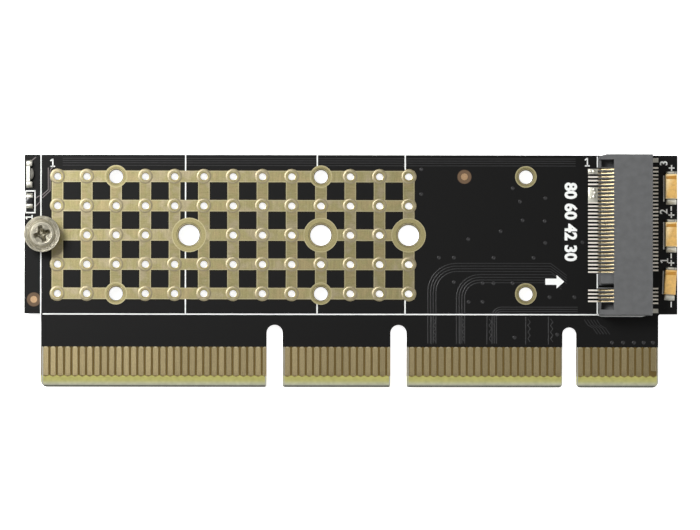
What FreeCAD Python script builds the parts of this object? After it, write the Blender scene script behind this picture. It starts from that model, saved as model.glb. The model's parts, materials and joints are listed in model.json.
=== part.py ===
# Low-profile server adapter card: it carries one solid state module over its face
# and plugs into a sixteen-lane edge slot.
# X runs along the card, Y up across it, Z out of its component side.
# The origin is under the middle of the card, level with its lowest point.
import FreeCAD, Part
import math
import os
import re
import Sketcher

sizes = {
    # laminate and its tongue
    "board_length": 89.2,
    "wing_height": 21.7,
    "board_thick": 1.6,
    "tongue_height": 10.0,
    "tongue_step": 2.3,
    "tongue_end_step": 2.6,
    "inner_fillet": 0.3,
    "tongue_corner": 0.8,
    "key_corner": 0.5,
    "bevel_height": 1.3,
    "bevel_angle": 20.0,
    # notches in the tongue
    "key_from_end": 12.15,
    "key_width": 1.9,
    "key_depth": 8.2,
    "notch_width": 2.2,
    "notch_depth": 8.5,
    "notch_corner": 0.25,
    "first_notch_step": 23.33,
    "second_notch_step": 40.25,
    # edge contacts
    "contact_pitch": 1.0,
    "contact_width": 0.7,
    "contact_length": 4.0,
    "contact_from_edge": 1.5,
    "contact_margin": 0.65,
    "short_contact_cut": 0.7,
    "key_to_contact": 1.5,
    "copper_thick": 0.05,
    # copper grid and drilled holes
    "grid_pitch": 4.0,
    "grid_inset": 4.5,
    "grid_drop": 2.95,
    "grid_to_socket": 25.95,
    "bar_width": 1.55,
    "via_hole": 1.1,
    "via_pad": 2.1,
    "sink_hole": 2.0,
    "sink_pad": 3.05,
    "lone_pad": 2.95,
    "stand_hole": 3.0,
    "stand_pad": 4.7,
    "stand_inset": 2.48,
    "module_stop": 4.03,
    "module_short": 30.0,
    "module_medium": 42.0,
    "module_long": 60.0,
    "dot_diameter": 0.95,
    "dot_inset": 1.3,
    "dot_rise": 1.9,
    "dot_past_grid": 7.6,
    # spacer and its two screws
    "spacer_diameter": 4.6,
    "spacer_height": 2.45,
    "neck_gap": 0.05,
    "neck_length": 1.3,
    "screw_thread": 2.0,
    "thread_gap": 0.03,
    "screw_shank": 1.75,
    "flange_diameter": 4.95,
    "flange_height": 0.5,
    "dome_diameter": 3.5,
    "dome_height": 0.7,
    "recess_width": 2.4,
    "recess_slot": 0.62,
    "recess_depth": 0.75,
    "recess_taper": 8.0,
    "recess_turn": 17.0,
    "flange_edge": 0.08,
    "dome_round": 0.25,
    "spacer_edge": 0.15,
    # module socket
    "socket_length": 21.9,
    "socket_inset": 3.45,
    "socket_depth": 7.3,
    "socket_height": 4.2,
    "apron_depth": 2.0,
    "jaw_height": 2.3,
    "slot_height": 1.1,
    "slot_wall": 0.975,
    "cheek_thick": 0.7,
    "cheek_relief": 1.0,
    "key_rib_reach": 3.125,
    "key_rib_width": 1.1,
    "key_rib_height": 1.5,
    "socket_pitch": 0.5,
    "pin_margin": 1.7,
    "slit_width": 0.3,
    "slit_depth": 4.1,
    "roof_slit_height": 0.4,
    "rear_slit_depth": 0.6,
    "pin_width": 0.22,
    "pin_thick": 0.15,
    "tail_length": 1.45,
    "rear_tail_length": 0.85,
    "end_recess_width": 1.0,
    "end_recess_depth": 1.2,
    "peg_diameter": 1.1,
    "peg_gap": 0.05,
    "peg_length": 1.2,
    "peg_inset": 1.6,
    "tab_width": 0.6,
    "tab_thick": 0.2,
    "tab_reach": 0.85,
    "tab_rise": 1.5,
    "tab_inset": 0.65,
    "tab_gap": 0.05,
    "housing_edge": 0.15,
    "mouth_lead": 0.3,
    "rib_lead": 0.15,
    "relief_width": 0.3,
    "recess_lip": 0.3,
    "heel_inset": 0.35,
    "heel_height": 1.3,
    "heel_gap": 0.1,
    "beam_length": 3.6,
    "beam_drop": 0.3,
    "beam_room": 0.1,
    # indicator lamp
    "lamp_inset": 0.25,
    "lamp_drop": 2.65,
    "lamp_length": 3.4,
    "lamp_thick": 0.5,
    "lamp_height": 1.1,
    "lamp_end": 0.65,
    "lamp_end_thick": 0.8,
    "lens_length": 1.7,
    "lens_reach": 0.55,
    "lens_height": 0.95,
    # series resistor
    "resistor_inset": 0.3,
    "resistor_drop": 6.35,
    "resistor_length": 1.6,
    "resistor_width": 0.8,
    "resistor_height": 0.45,
    "resistor_cap": 0.38,
    "resistor_lip": 0.03,
    # tantalum capacitors
    "capacitor_inset": 0.05,
    "capacitor_shift": 0.15,
    "capacitor_pitch": 6.55,
    "capacitor_length": 3.2,
    "capacitor_width": 1.6,
    "capacitor_height": 1.6,
    "capacitor_draft": 0.08,
    "capacitor_twist": 3.5,
    "capacitor_drift": 0.12,
    "strap_thick": 0.1,
    "strap_width": 1.2,
    "strap_height": 0.8,
    "strap_foot": 0.8,
    # solder
    "solder_reach": 0.4,
    "solder_long_reach": 0.8,
    "solder_height": 0.5,
    "solder_side": 0.15,
}

grid_rows = 5
lone_step = 3
sink_step = 7
short_row = 5
key_places = 4
supply_gaps = (0, 5, 6, 7)

doc = FreeCAD.newDocument("adapter_card")
sheet = doc.addObject("Spreadsheet::Sheet", "sizes")
for row, (name, amount) in enumerate(sizes.items(), start=1):
    sheet.set("A%d" % row, name)
    sheet.set("B%d" % row, str(amount))
    sheet.setAlias("B%d" % row, name)
marks = doc.addObject("Spreadsheet::Sheet", "marks")
doc.recompute()

# Heights and places that several pieces share, as formulas on the sheet
places = {
    "board_height": "(wing_height + tongue_height)",
    "tongue_length": "(board_length - tongue_step - tongue_end_step)",
    "socket_front": "(board_length / 2 - socket_inset - socket_depth)",
    "grid_left": "(board_length / 2 - grid_inset)",
    "grid_top": "(board_height / 2 - grid_drop)",
    "module_datum": "(socket_front + module_stop)",
    "lamp_place": "(board_length / 2 - lamp_inset)",
    "lamp_centre": "(board_height / 2 - lamp_drop)",
    "resistor_across": "(board_length / 2 - resistor_inset - resistor_width / 2)",
    "resistor_up": "(board_height / 2 - resistor_drop)",
    "capacitor_across": "(board_length / 2 - capacitor_inset - capacitor_width / 2)",
    "capacitor_middle": "(grid_top - 2 * grid_pitch + capacitor_shift)",
}
board_back = "(flange_height + dome_height)"
board_face = "(flange_height + dome_height + board_thick)"
tongue_left = "(tongue_step - board_length / 2)"
tongue_right = "(tongue_step - board_length / 2 + tongue_length)"
tongue_foot = "(-board_height / 2)"
key_centre = "(tongue_step - board_length / 2 + tongue_length - key_from_end)"
middle_row = "(grid_top - 2 * grid_pitch)"
socket_rear = "(socket_front + socket_depth)"
jaw_front = "(socket_front + apron_depth)"


def formula(text):
    """Write out the places in a formula, then put the sheet's name before each size."""
    while any(word in places for word in re.findall(r"[a-z_]+", text)):
        text = re.sub(r"[a-z_]+", lambda word: places.get(word.group(), word.group()), text)
    return re.sub(r"[a-z_]+", lambda word: "sizes." + word.group() if word.group() in sizes else word.group(), text)


def amount(text):
    """Work out a formula's number, on a sheet that nothing hangs on."""
    marks.set("A1", "=" + formula(text))
    marks.recompute()
    return float(marks.get("A1"))


def bind(thing, **formulas):
    for prop, text in formulas.items():
        thing.setExpression(prop.replace("__", "."), formula(text))


def new_body(label):
    body = doc.addObject("PartDesign::Body", label)
    body.Label = label
    body.AllowCompound = True
    return body


def new_sketch(body, name, plane, offset="0"):
    sketch = body.newObject("Sketcher::SketchObject", name)
    support = [feature for feature in body.Origin.OriginFeatures if feature.Role == plane][0]
    sketch.AttachmentSupport = [(support, "")]
    sketch.MapMode = "FlatFace"
    bind(sketch, AttachmentOffset__Base__z=offset)
    return sketch


def hold(sketch, rules):
    """Add a sketch's constraints together, each with its formula where it has one."""
    first = sketch.ConstraintCount
    sketch.addConstraint([constraint for constraint, text in rules])
    for number, (constraint, text) in enumerate(rules, start=first):
        if text:
            sketch.setExpression("Constraints[%d]" % number, formula(text))


def pinned(geometry, end, across, up):
    """Hold a point of a sketch at its distances from the sketch's origin."""
    return [(Sketcher.Constraint("DistanceX", -1, 1, geometry, end, 1.0), across),
            (Sketcher.Constraint("DistanceY", -1, 1, geometry, end, 1.0), up)]


def draw_outline(sketch, corners):
    """Draw a closed outline with straight sides through corners given as formulas."""
    count = len(corners)
    turn = 2 * math.pi / count
    ring = [FreeCAD.Vector(math.cos(turn * step), math.sin(turn * step), 0) for step in range(count)]
    first = sketch.GeometryCount
    sketch.addGeometry([Part.LineSegment(ring[step], ring[(step + 1) % count]) for step in range(count)])
    rules = []
    for step, (across, up) in enumerate(corners):
        following = first + (step + 1) % count
        rules.append((Sketcher.Constraint("Coincident", first + step, 2, following, 1), None))
        rules += pinned(first + step, 1, across, up)
    hold(sketch, rules)


def draw_rectangle(sketch, left, bottom, right, top):
    draw_outline(sketch, [(left, bottom), (right, bottom), (right, top), (left, top)])


def draw_rounds(sketch, rounds):
    """Draw circles from centres and diameters given as formulas."""
    rules = []
    for across, up, diameter in rounds:
        number = sketch.addGeometry(Part.Circle(FreeCAD.Vector(1, 1, 0), FreeCAD.Vector(0, 0, 1), 0.5))
        rules += pinned(number, 3, across, up)
        rules.append((Sketcher.Constraint("Diameter", number, 1.0), diameter))
    hold(sketch, rules)


def pad(body, name, sketch, length, symmetric=False, downward=False):
    feature = body.newObject("PartDesign::Pad", name)
    feature.Profile = sketch
    feature.Reversed = downward
    feature.SideType = "Symmetric" if symmetric else "One side"
    bind(feature, Length=length)
    doc.recompute()
    return feature


def pocket(body, name, sketch, depth=None, symmetric=False, upward=False):
    """Cut a sketch's outline out of a body, through all of it where no depth is given."""
    before = body.Shape.Volume
    feature = body.newObject("PartDesign::Pocket", name)
    feature.Profile = sketch
    feature.Reversed = upward
    feature.SideType = "Symmetric" if symmetric else "One side"
    if depth is None:
        feature.Type = "ThroughAll"
    else:
        bind(feature, Length=depth)
    doc.recompute()
    if body.Shape.Volume > before - 1e-6:
        raise ValueError(name + " cuts nothing")
    return feature


def upright_edges_at(shape, places):
    """Name the edges that stand along Z at the given places."""
    names = []
    for number, edge in enumerate(shape.Edges, start=1):
        if len(edge.Vertexes) != 2:
            continue
        low, high = (vertex.Point for vertex in edge.Vertexes)
        if math.hypot(low.x - high.x, low.y - high.y) > 1e-6:
            continue
        if any(math.hypot(low.x - x, low.y - y) < 1e-4 for x, y in places):
            names.append("Edge%d" % number)
    return names


def round_corners(body, name, places, radius):
    base = body.Tip
    feature = body.newObject("PartDesign::Fillet", name)
    feature.Base = (base, upright_edges_at(base.Shape, places))
    bind(feature, Radius=radius)
    doc.recompute()


def grid_place(column, row):
    return "-grid_left + %d * grid_pitch" % column, "grid_top - %d * grid_pitch" % row


def notch_centres():
    """The two extra notches let the card into shorter slots."""
    return [key_centre + " - first_notch_step", key_centre + " - second_notch_step"]


# Laminate: wings, tongue, corners, notches and bevel
def lay_out_board(body):
    outline = new_sketch(body, "board_outline", "XY_Plane", board_back)
    right = "board_length / 2"
    left = "-board_length / 2"
    wing_foot = tongue_foot + " + tongue_height"
    draw_outline(outline, [
        (left, "board_height / 2"), (left, wing_foot), (tongue_left, wing_foot), (tongue_left, tongue_foot),
        (tongue_right, tongue_foot), (tongue_right, wing_foot), (right, wing_foot), (right, "board_height / 2")])
    pad(body, "laminate", outline, "board_thick")


def cut_notch(body, name, centre, width, depth):
    """Rout one notch into the tongue, with a round end."""
    straight = new_sketch(body, name + "_sides", "XY_Plane", board_back)
    top = tongue_foot + " + %s - %s / 2" % (depth, width)
    draw_rectangle(straight, "%s - %s / 2" % (centre, width), tongue_foot + " - 1",
                   "%s + %s / 2" % (centre, width), top)
    pocket(body, name + "_cut", straight, symmetric=True)
    end = new_sketch(body, name + "_end", "XY_Plane", board_back)
    draw_rounds(end, [(centre, top, width)])
    pocket(body, name + "_round", end, symmetric=True)


def soften_tongue(body):
    foot = amount(tongue_foot)
    wing = foot + amount("tongue_height")
    left = amount(tongue_left)
    right = amount(tongue_right)
    key = amount(key_centre)
    half_key = amount("key_width / 2")
    round_corners(body, "inner_corners", [(left, wing), (right, wing)], "inner_fillet")
    round_corners(body, "outer_corners", [(left, foot), (right, foot)], "tongue_corner")
    round_corners(body, "key_corners", [(key - half_key, foot), (key + half_key, foot)], "key_corner")
    half_notch = amount("notch_width / 2")
    edges = [amount(centre) + side for centre in notch_centres() for side in (-half_notch, half_notch)]
    round_corners(body, "notch_corners", [(edge, foot) for edge in edges], "notch_corner")


def bevel_edge(body):
    """Take the leading edge down on both faces, so that it finds its slot."""
    run = "bevel_height * tan(bevel_angle * 1 deg)"
    face = board_face + " + 0.01"
    back = board_back + " - 0.01"
    wedge = new_sketch(body, "bevel_profile", "YZ_Plane")
    top = tongue_foot + " + bevel_height"
    draw_outline(wedge, [(tongue_foot + " - 0.01", face), (tongue_foot + " - 0.01", board_face + " - " + run),
                         (tongue_foot, board_face + " - " + run), (top, board_face), (top, face)])
    draw_outline(wedge, [(tongue_foot + " - 0.01", back), (top, back), (top, board_back),
                         (tongue_foot, board_back + " + " + run), (tongue_foot + " - 0.01", board_back + " + " + run)])
    pocket(body, "bevel", wedge, symmetric=True)


# Simple shapes whose sizes and places are formulas
def place(thing, across="0", up="0", low="0"):
    bind(thing, Placement__Base__x=across, Placement__Base__y=up, Placement__Base__z=low)
    return thing


def block(name, spans):
    """Make a box from its spans along X, Y and Z, each a lower and an upper formula."""
    thing = doc.addObject("Part::Box", name)
    for prop, (low, high) in zip(("Length", "Width", "Height"), spans):
        bind(thing, **{prop: "%s - (%s)" % (high, low)})
    return place(thing, *[low for low, high in spans])


def disc(name, across, up, low, diameter, tall):
    thing = doc.addObject("Part::Cylinder", name)
    bind(thing, Radius=diameter + " / 2", Height=tall)
    return place(thing, across, up, low)


def near_round(name, across, up, low, diameter, tall, sides):
    """Small round things that repeat are many-sided, which keeps their mesh light."""
    thing = doc.addObject("Part::Prism", name)
    thing.Polygon = sides
    bind(thing, Circumradius=diameter + " / 2", Height=tall)
    return place(thing, across, up, low)


def join(name, things):
    whole = doc.addObject("Part::MultiFuse", name)
    whole.Shapes = things
    whole.Refine = True
    return whole


def gather(name, things):
    group = doc.addObject("Part::Compound", name)
    group.Links = things
    return group


def cut(name, base, tool):
    rest = doc.addObject("Part::Cut", name)
    rest.Base = base
    rest.Tool = tool
    rest.Refine = True
    return rest


def finish(thing, label):
    """Name a finished piece by its node."""
    thing.Label = label
    nodes.append(thing)
    return thing


def finish_shape(label, shapes):
    """Keep several solids of one kind as one finished piece."""
    thing = doc.addObject("Part::Feature", label)
    thing.Shape = Part.makeCompound(shapes)
    return finish(thing, label)


def prism_along(axis, corners, start, length):
    """Sweep an outline along X or Y; its corners are the other across place and the height."""
    if axis == "X":
        ring = [FreeCAD.Vector(start, side, tall) for side, tall in corners]
        way = FreeCAD.Vector(length, 0, 0)
    else:
        ring = [FreeCAD.Vector(side, start, tall) for side, tall in corners]
        way = FreeCAD.Vector(0, length, 0)
    return Part.Face(Part.makePolygon(ring + ring[:1])).extrude(way)


def amounts(corners):
    return [(amount(across), amount(up)) for across, up in corners]


def copies(shape, places):
    """Repeat a solid at places across and up."""
    return [shape.translated(FreeCAD.Vector(across, up, 0)) for across, up in places]


nodes = []


# Bare copper grid, bonded to the face as one field of bars and round pads
def copper_window(column, row):
    """One square window between the bars, below and right of a grid node."""
    across, up = grid_place(column, row)
    return block("window_%d_%d" % (column, row), (
        (across + " + bar_width / 2", across + " + grid_pitch - bar_width / 2"),
        (up + " - grid_pitch + bar_width / 2", up + " - bar_width / 2"),
        (board_face + " - 1", board_face + " + 1")))


def rim_nodes():
    """Grid nodes on the field's rim, where the pads stand out past the bars."""
    rim = []
    for column in range(grid_columns):
        for row in range(grid_rows):
            at_top_or_foot = row in (0, grid_rows - 1)
            at_side = column in (0, grid_columns - 1) and row in (1, 3)
            if at_top_or_foot or at_side:
                rim.append((column, row))
    return rim


def is_wide(column, row):
    return column in wide_columns and row in (0, grid_rows - 1)


def stand_places():
    """Holes for the three shorter module lengths, then the outermost one, where the spacer stands."""
    across = ["module_datum - " + length for length in ("module_short", "module_medium", "module_long")]
    return [(spot, middle_row) for spot in across + ["stand_inset - board_length / 2"]]


def copper_pad(number, across, up, diameter):
    name = "pad_%d" % number
    if diameter in ("via_pad", "sink_pad"):
        return near_round(name, across, up, board_face, diameter, "copper_thick", 12)
    return disc(name, across, up, board_face, diameter, "copper_thick")


grid_columns = int(amount("(socket_front - grid_to_socket + grid_left) / grid_pitch") + 0.01) + 1
lone_column = grid_columns + lone_step
wide_columns = tuple(column for column in (lone_column - 2 * sink_step, lone_column - sink_step) if column >= 0)


def make_copper():
    left, top = grid_place(0, 0)
    right, bottom = grid_place(grid_columns - 1, grid_rows - 1)
    field = block("copper_field", (
        (left + " - bar_width / 2", right + " + bar_width / 2"),
        (bottom + " - bar_width / 2", top + " + bar_width / 2"),
        (board_face, board_face + " + copper_thick")))
    windows = [copper_window(column, row) for column in range(grid_columns - 1) for row in range(grid_rows - 1)]
    grid = cut("copper_grid", field, gather("copper_windows", windows))
    rounds = [grid_place(*node) + ("sink_pad" if is_wide(*node) else "via_pad",) for node in rim_nodes()]
    rounds += [grid_place(lone_column, row) + ("lone_pad",) for row in (0, grid_rows - 1)]
    rounds += [spot + ("stand_pad",) for spot in stand_places()]
    return [grid] + [copper_pad(number, *spot) for number, spot in enumerate(rounds, start=1)]


def via_nodes():
    """Every node has a via, apart from the wide holes and the places that a stand pad takes."""
    rows = [(column, row) for column in range(grid_columns) for row in (0, 1, 3, 4)]
    pads = [amount(across) for across, up in stand_places()]
    room = amount("(stand_pad + via_pad) / 2")
    middle = [column for column in range(grid_columns)
              if all(abs(amount(grid_place(column, 2)[0]) - pad) > room for pad in pads)]
    return [node for node in rows if not is_wide(*node)] + [(column, 2) for column in middle]


def via_drill(column, row):
    across, up = grid_place(column, row)
    return near_round("via_%d_%d" % (column, row), across, up, board_back + " - 1", "via_hole", "board_thick + 2", 8)


def round_drill(number, across, up, diameter):
    return disc("drill_%d" % number, across, up, board_back + " - 1", "(%s)" % diameter, "board_thick + 2")


def peg_places():
    across = "socket_front + socket_depth / 2 + apron_depth / 2"
    reach = "(socket_length / 2 - peg_inset)"
    return [(across, middle_row + " + " + reach), (across, middle_row + " - " + reach)]


def make_drills():
    """The plated holes, and the two plain ones for the socket's pegs."""
    rounds = [grid_place(column, row) + ("sink_hole",)
              for column in wide_columns + (lone_column,) for row in (0, grid_rows - 1)]
    rounds += [spot + ("stand_hole",) for spot in stand_places()]
    drills = [via_drill(*node) for node in via_nodes()]
    drills += [near_round("peg_drill_%d" % number, *spot, board_back + " - 1", "(peg_diameter + 2 * peg_gap)",
                          "board_thick + 2", 12) for number, spot in enumerate(peg_places(), start=1)]
    return gather("drills", drills + [round_drill(number, *spot) for number, spot in enumerate(rounds, start=1)])


def make_board():
    blank = new_body("board_blank")
    lay_out_board(blank)
    cut_notch(blank, "key", key_centre, "key_width", "key_depth")
    for number, centre in enumerate(notch_centres(), start=1):
        cut_notch(blank, "notch_%d" % number, centre, "notch_width", "notch_depth")
    soften_tongue(blank)
    bevel_edge(blank)
    clad = join("clad_board", [blank] + make_copper())
    finish(cut("drilled_board", clad, make_drills()), "circuit_board")


# Edge contacts: rows of plated strips on both faces of the tongue
def contact_places():
    """Strips run from the key towards both ends of the tongue; the notches leave some out."""
    pitch = amount("contact_pitch")
    key = amount(key_centre)
    step = amount("key_to_contact")
    left_end = amount(tongue_left + " + contact_margin") - pitch / 20
    right_end = amount(tongue_right + " - contact_margin") + pitch / 20
    right_group = [key + step + pitch * count for count in range(int((right_end - key - step) / pitch) + 1)]
    left_group = [key - step - pitch * count for count in range(int((key - step - left_end) / pitch) + 1)]
    notches = [amount(centre) for centre in notch_centres()]
    half = amount("notch_width / 2")
    return [across for across in right_group + left_group if all(abs(across - notch) > half for notch in notches)]


def contact_strip(across, low, cut_short):
    """One plated strip; its place is that of its middle."""
    width = amount("contact_width")
    foot = amount(tongue_foot + " + contact_from_edge") + cut_short
    length = amount("contact_length") - cut_short
    return Part.makeBox(width, length, amount("copper_thick"), FreeCAD.Vector(across - width / 2, foot, low))


def notch_spaces():
    """The two extra notches take a little off the strips beside them."""
    width = amount("notch_width")
    depth = amount("notch_depth")
    tall = amount(board_face + " + board_thick")
    foot = amount(tongue_foot) - depth
    return [Part.makeBox(width, 2 * depth, tall, FreeCAD.Vector(amount(centre) - width / 2, foot, 0))
            for centre in notch_centres()]


def make_edge_contacts():
    first = max(contact_places())
    short = amount("short_contact_cut")
    for label, low in (("edge_contacts_front", amount(board_face)), ("edge_contacts_back", amount(board_back + " - copper_thick"))):
        strips = [contact_strip(across, low, short if across == first else 0) for across in contact_places()]
        trimmed = [strip.cut(notch_spaces()) for strip in strips]
        finish_shape(label, [solid for shape in trimmed for solid in shape.Solids])


def make_dots():
    """Two bare copper dots that the placing machine sights on."""
    last_column = grid_place(grid_columns - 1, 0)[0]
    dot_places = [("dot_inset - board_length / 2", tongue_foot + " + tongue_height + dot_rise"),
                  (last_column + " + dot_past_grid", "grid_top")]
    dots = [near_round("dot_%d" % number, across, up, board_face, "dot_diameter", "copper_thick", 12)
            for number, (across, up) in enumerate(dot_places, start=1)]
    finish(gather("dots", dots), "fiducial_dots")


# Module socket: as many pins as its length takes, a short row past the key, the lower row one pin shorter
pin_places = int(amount("(socket_length - 2 * pin_margin) / socket_pitch") + 0.01) + 1
past_key = pin_places - short_row
before_key = list(range(past_key - key_places))
upper_pins = before_key + list(range(past_key, pin_places))
lower_pins = before_key + list(range(past_key, pin_places - 1))
front_slits = before_key + list(range(past_key - 1, pin_places - 1))
upper_first_pin = "%d * socket_pitch / 2" % (pin_places - 1)
lower_first_pin = "%d * socket_pitch / 2" % (pin_places - 2)


def pin_up(first, number):
    return "%s + %s - %d * socket_pitch" % (middle_row, first, number)


def slit(name, first, number, front, rear, low, high):
    up = pin_up(first, number)
    return block("%s_%d" % (name, number), (
        (front, rear), (up + " - slit_width / 2", up + " + slit_width / 2"), (low, high)))


def make_housing():
    body = new_body("housing_block")
    top = board_face + " + socket_height"
    jaw = board_face + " + jaw_height"
    roof = jaw + " + slot_height"
    stop = "socket_front + slit_depth"
    station = "-%s" % middle_row
    side = new_sketch(body, "housing_side", "XZ_Plane", station)
    draw_outline(side, [("socket_front", board_face), (socket_rear, board_face), (socket_rear, top + " - housing_edge"),
                        (socket_rear + " - housing_edge", top), ("socket_front + housing_edge", top),
                        ("socket_front", top + " - housing_edge")])
    pad(body, "housing_bar", side, "socket_length", symmetric=True)
    apron = new_sketch(body, "apron_side", "XZ_Plane", station)
    draw_rectangle(apron, "socket_front - 1", jaw, jaw_front, top + " + 1")
    pocket(body, "apron", apron, "socket_length - 2 * cheek_thick", symmetric=True)
    mouth = new_sketch(body, "mouth_side", "XZ_Plane", station)
    draw_outline(mouth, [("socket_front - 1", jaw), (stop, jaw), (stop, roof), (jaw_front + " + mouth_lead", roof),
                         (jaw_front, roof + " + mouth_lead"), ("socket_front - 1", roof + " + mouth_lead")])
    pocket(body, "mouth", mouth, "socket_length - 2 * slot_wall", symmetric=True)
    rib = new_sketch(body, "rib_side", "XZ_Plane", "-(%s - %s + key_rib_reach)" % (middle_row, upper_first_pin))
    draw_outline(rib, [("socket_front + rib_lead", jaw), (stop, jaw), (stop, roof), (jaw_front, roof),
                       (jaw_front, jaw + " + key_rib_height"), ("socket_front + 2 * rib_lead", jaw + " + key_rib_height"),
                       ("socket_front + rib_lead", jaw + " + key_rib_height - rib_lead")])
    pad(body, "key_rib", rib, "key_rib_width", symmetric=True)
    relief = new_sketch(body, "cheek_corner", "XY_Plane", board_face)
    end = middle_row + " + socket_length / 2"
    draw_outline(relief, [("socket_front - 1", end + " - relief_width"), ("socket_front", end + " - relief_width"),
                          ("socket_front + cheek_relief", end), ("socket_front + cheek_relief", end + " + 1"),
                          ("socket_front - 1", end + " + 1")])
    pocket(body, "cheek_relief_cut", relief, symmetric=True)
    return body


def make_socket():
    jaw = board_face + " + jaw_height"
    roof = jaw + " + slot_height"
    low = board_face + " - 0.01"
    spaces = [slit("front_slit", lower_first_pin, number, "socket_front - 1", "socket_front + slit_depth", low, jaw + " + 0.01")
              for number in front_slits]
    spaces += [slit("rear_slit", upper_first_pin, number, socket_rear + " - rear_slit_depth", socket_rear + " + 1",
                    low, roof + " + roof_slit_height") for number in upper_pins]
    for first, last in ((before_key[0], before_key[-1]), (past_key, pin_places - 1)):
        spaces.append(block("roof_trough_%d" % first, (
            (jaw_front + " + mouth_lead", socket_rear + " - rear_slit_depth + 0.01"),
            (pin_up(upper_first_pin, last) + " - slit_width / 2", pin_up(upper_first_pin, first) + " + slit_width / 2"),
            (roof + " - beam_room", roof + " + roof_slit_height"))))
    for name, sign in (("upper", "+"), ("lower", "-")):
        outer = "%s %s (socket_length / 2 - cheek_thick)" % (middle_row, sign)
        inner = "%s %s (socket_length / 2 - cheek_thick - end_recess_width)" % (middle_row, sign)
        span = (inner, outer) if sign == "+" else (outer, inner)
        spaces.append(block(name + "_end_recess", (
            ("socket_front + recess_lip", jaw_front), span, (jaw + " - end_recess_depth", jaw + " + 0.01"))))
        middle = "%s %s (socket_length / 2 - tab_inset)" % (middle_row, sign)
        spaces.append(block(name + "_tab_slot", (
            (socket_rear + " - tab_thick - 2 * tab_gap", socket_rear + " + 1"),
            (middle + " - tab_width / 2 - tab_gap", middle + " + tab_width / 2 + tab_gap"),
            (low, board_face + " + tab_rise + tab_gap"))))
    slotted = cut("slotted_housing", make_housing(), gather("housing_spaces", spaces))
    pegs = [near_round("peg_%d" % number, *spot, board_face + " - peg_length", "peg_diameter", "peg_length + 0.5", 12)
            for number, spot in enumerate(peg_places(), start=1)]
    finish(join("pegged_housing", [slotted] + pegs), "socket_housing")


def spring_row(label, corners, first, pins):
    width = amount("pin_width")
    pin = prism_along("Y", amounts(corners), -width / 2, width)
    finish_shape(label, copies(pin, [(0, amount(pin_up(first, number))) for number in pins]))


def make_socket_contacts():
    """Bent strips: a tail on the card, a riser in its slit and a sprung beam to the module."""
    low = board_face
    jaw = board_face + " + jaw_height"
    heel = "socket_front + heel_inset"
    tip = "socket_front + beam_length"
    spring_row("socket_contacts_lower", [
        ("socket_front - tail_length", low), ("socket_front - tail_length", low + " + pin_thick"),
        (heel, low + " + pin_thick"), (heel, low + " + heel_height"), (tip, jaw + " + pin_thick"),
        (heel + " + pin_thick", low + " + heel_height - pin_thick"), (heel + " + pin_thick", low)],
        lower_first_pin, lower_pins)
    back = socket_rear + " - heel_gap"
    beam = jaw + " + slot_height + roof_slit_height - heel_gap"
    end = jaw_front + " + mouth_lead + heel_gap"
    spring_row("socket_contacts_upper", [
        (socket_rear + " + rear_tail_length", low), (socket_rear + " + rear_tail_length", low + " + pin_thick"),
        (back, low + " + pin_thick"), (back, beam), (end, beam + " - beam_drop - pin_thick"),
        (back + " - pin_thick", beam + " - pin_thick"), (back + " - pin_thick", low)],
        upper_first_pin, upper_pins)


def make_tabs():
    """Two tin-plated tabs hold the housing's rear corners down."""
    back = socket_rear + " - tab_gap"
    profile = amounts([
        (socket_rear + " + tab_reach", board_face), (socket_rear + " + tab_reach", board_face + " + tab_thick"),
        (back, board_face + " + tab_thick"), (back, board_face + " + tab_rise"),
        (back + " - tab_thick", board_face + " + tab_rise"), (back + " - tab_thick", board_face)])
    width = amount("tab_width")
    tab = prism_along("Y", profile, -width / 2, width)
    reach = amount("socket_length / 2 - tab_inset")
    middle = amount(middle_row)
    finish_shape("socket_hold_downs", copies(tab, [(0, middle + reach), (0, middle - reach)]))


def make_bridges():
    """Solder that joins the tails of neighbouring supply pins into broad pads."""
    length = amount("tail_length - heel_gap")
    width = amount("socket_pitch - pin_width")
    bridge = Part.makeBox(length, width, amount("pin_thick"),
                          FreeCAD.Vector(amount("socket_front - tail_length"), -width / 2, amount(board_face)))
    half = amount("socket_pitch / 2")
    gaps = [gap for gap in supply_gaps if gap + 1 in lower_pins]
    finish_shape("supply_pads", copies(bridge, [(0, amount(pin_up(lower_first_pin, gap)) - half) for gap in gaps]))


# Spacer and its screws, all round about one axis
def turned(name, corners):
    """Turn an outline of radius and height about the upright axis."""
    body = new_body(name)
    sketch = new_sketch(body, name + "_outline", "XZ_Plane")
    draw_outline(sketch, corners)
    turn = body.newObject("PartDesign::Revolution", name + "_turn")
    turn.Profile = sketch
    turn.ReferenceAxis = (sketch, ["V_Axis"])
    turn.Angle = 360
    doc.recompute()
    return body


def make_spacer():
    bore = "screw_thread / 2 + thread_gap"
    neck = "stand_hole / 2 - neck_gap"
    wall = "spacer_diameter / 2"
    body = turned("spacer", [
        (bore, "-neck_length"), (neck, "-neck_length"), (neck, "0"), (wall, "0"),
        (wall, "spacer_height - spacer_edge"), (wall + " - spacer_edge", "spacer_height"), (bore, "spacer_height")])
    place(body, *stand_places()[-1], board_face + " + copper_thick")
    finish(body, "standoff_spacer")


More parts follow.
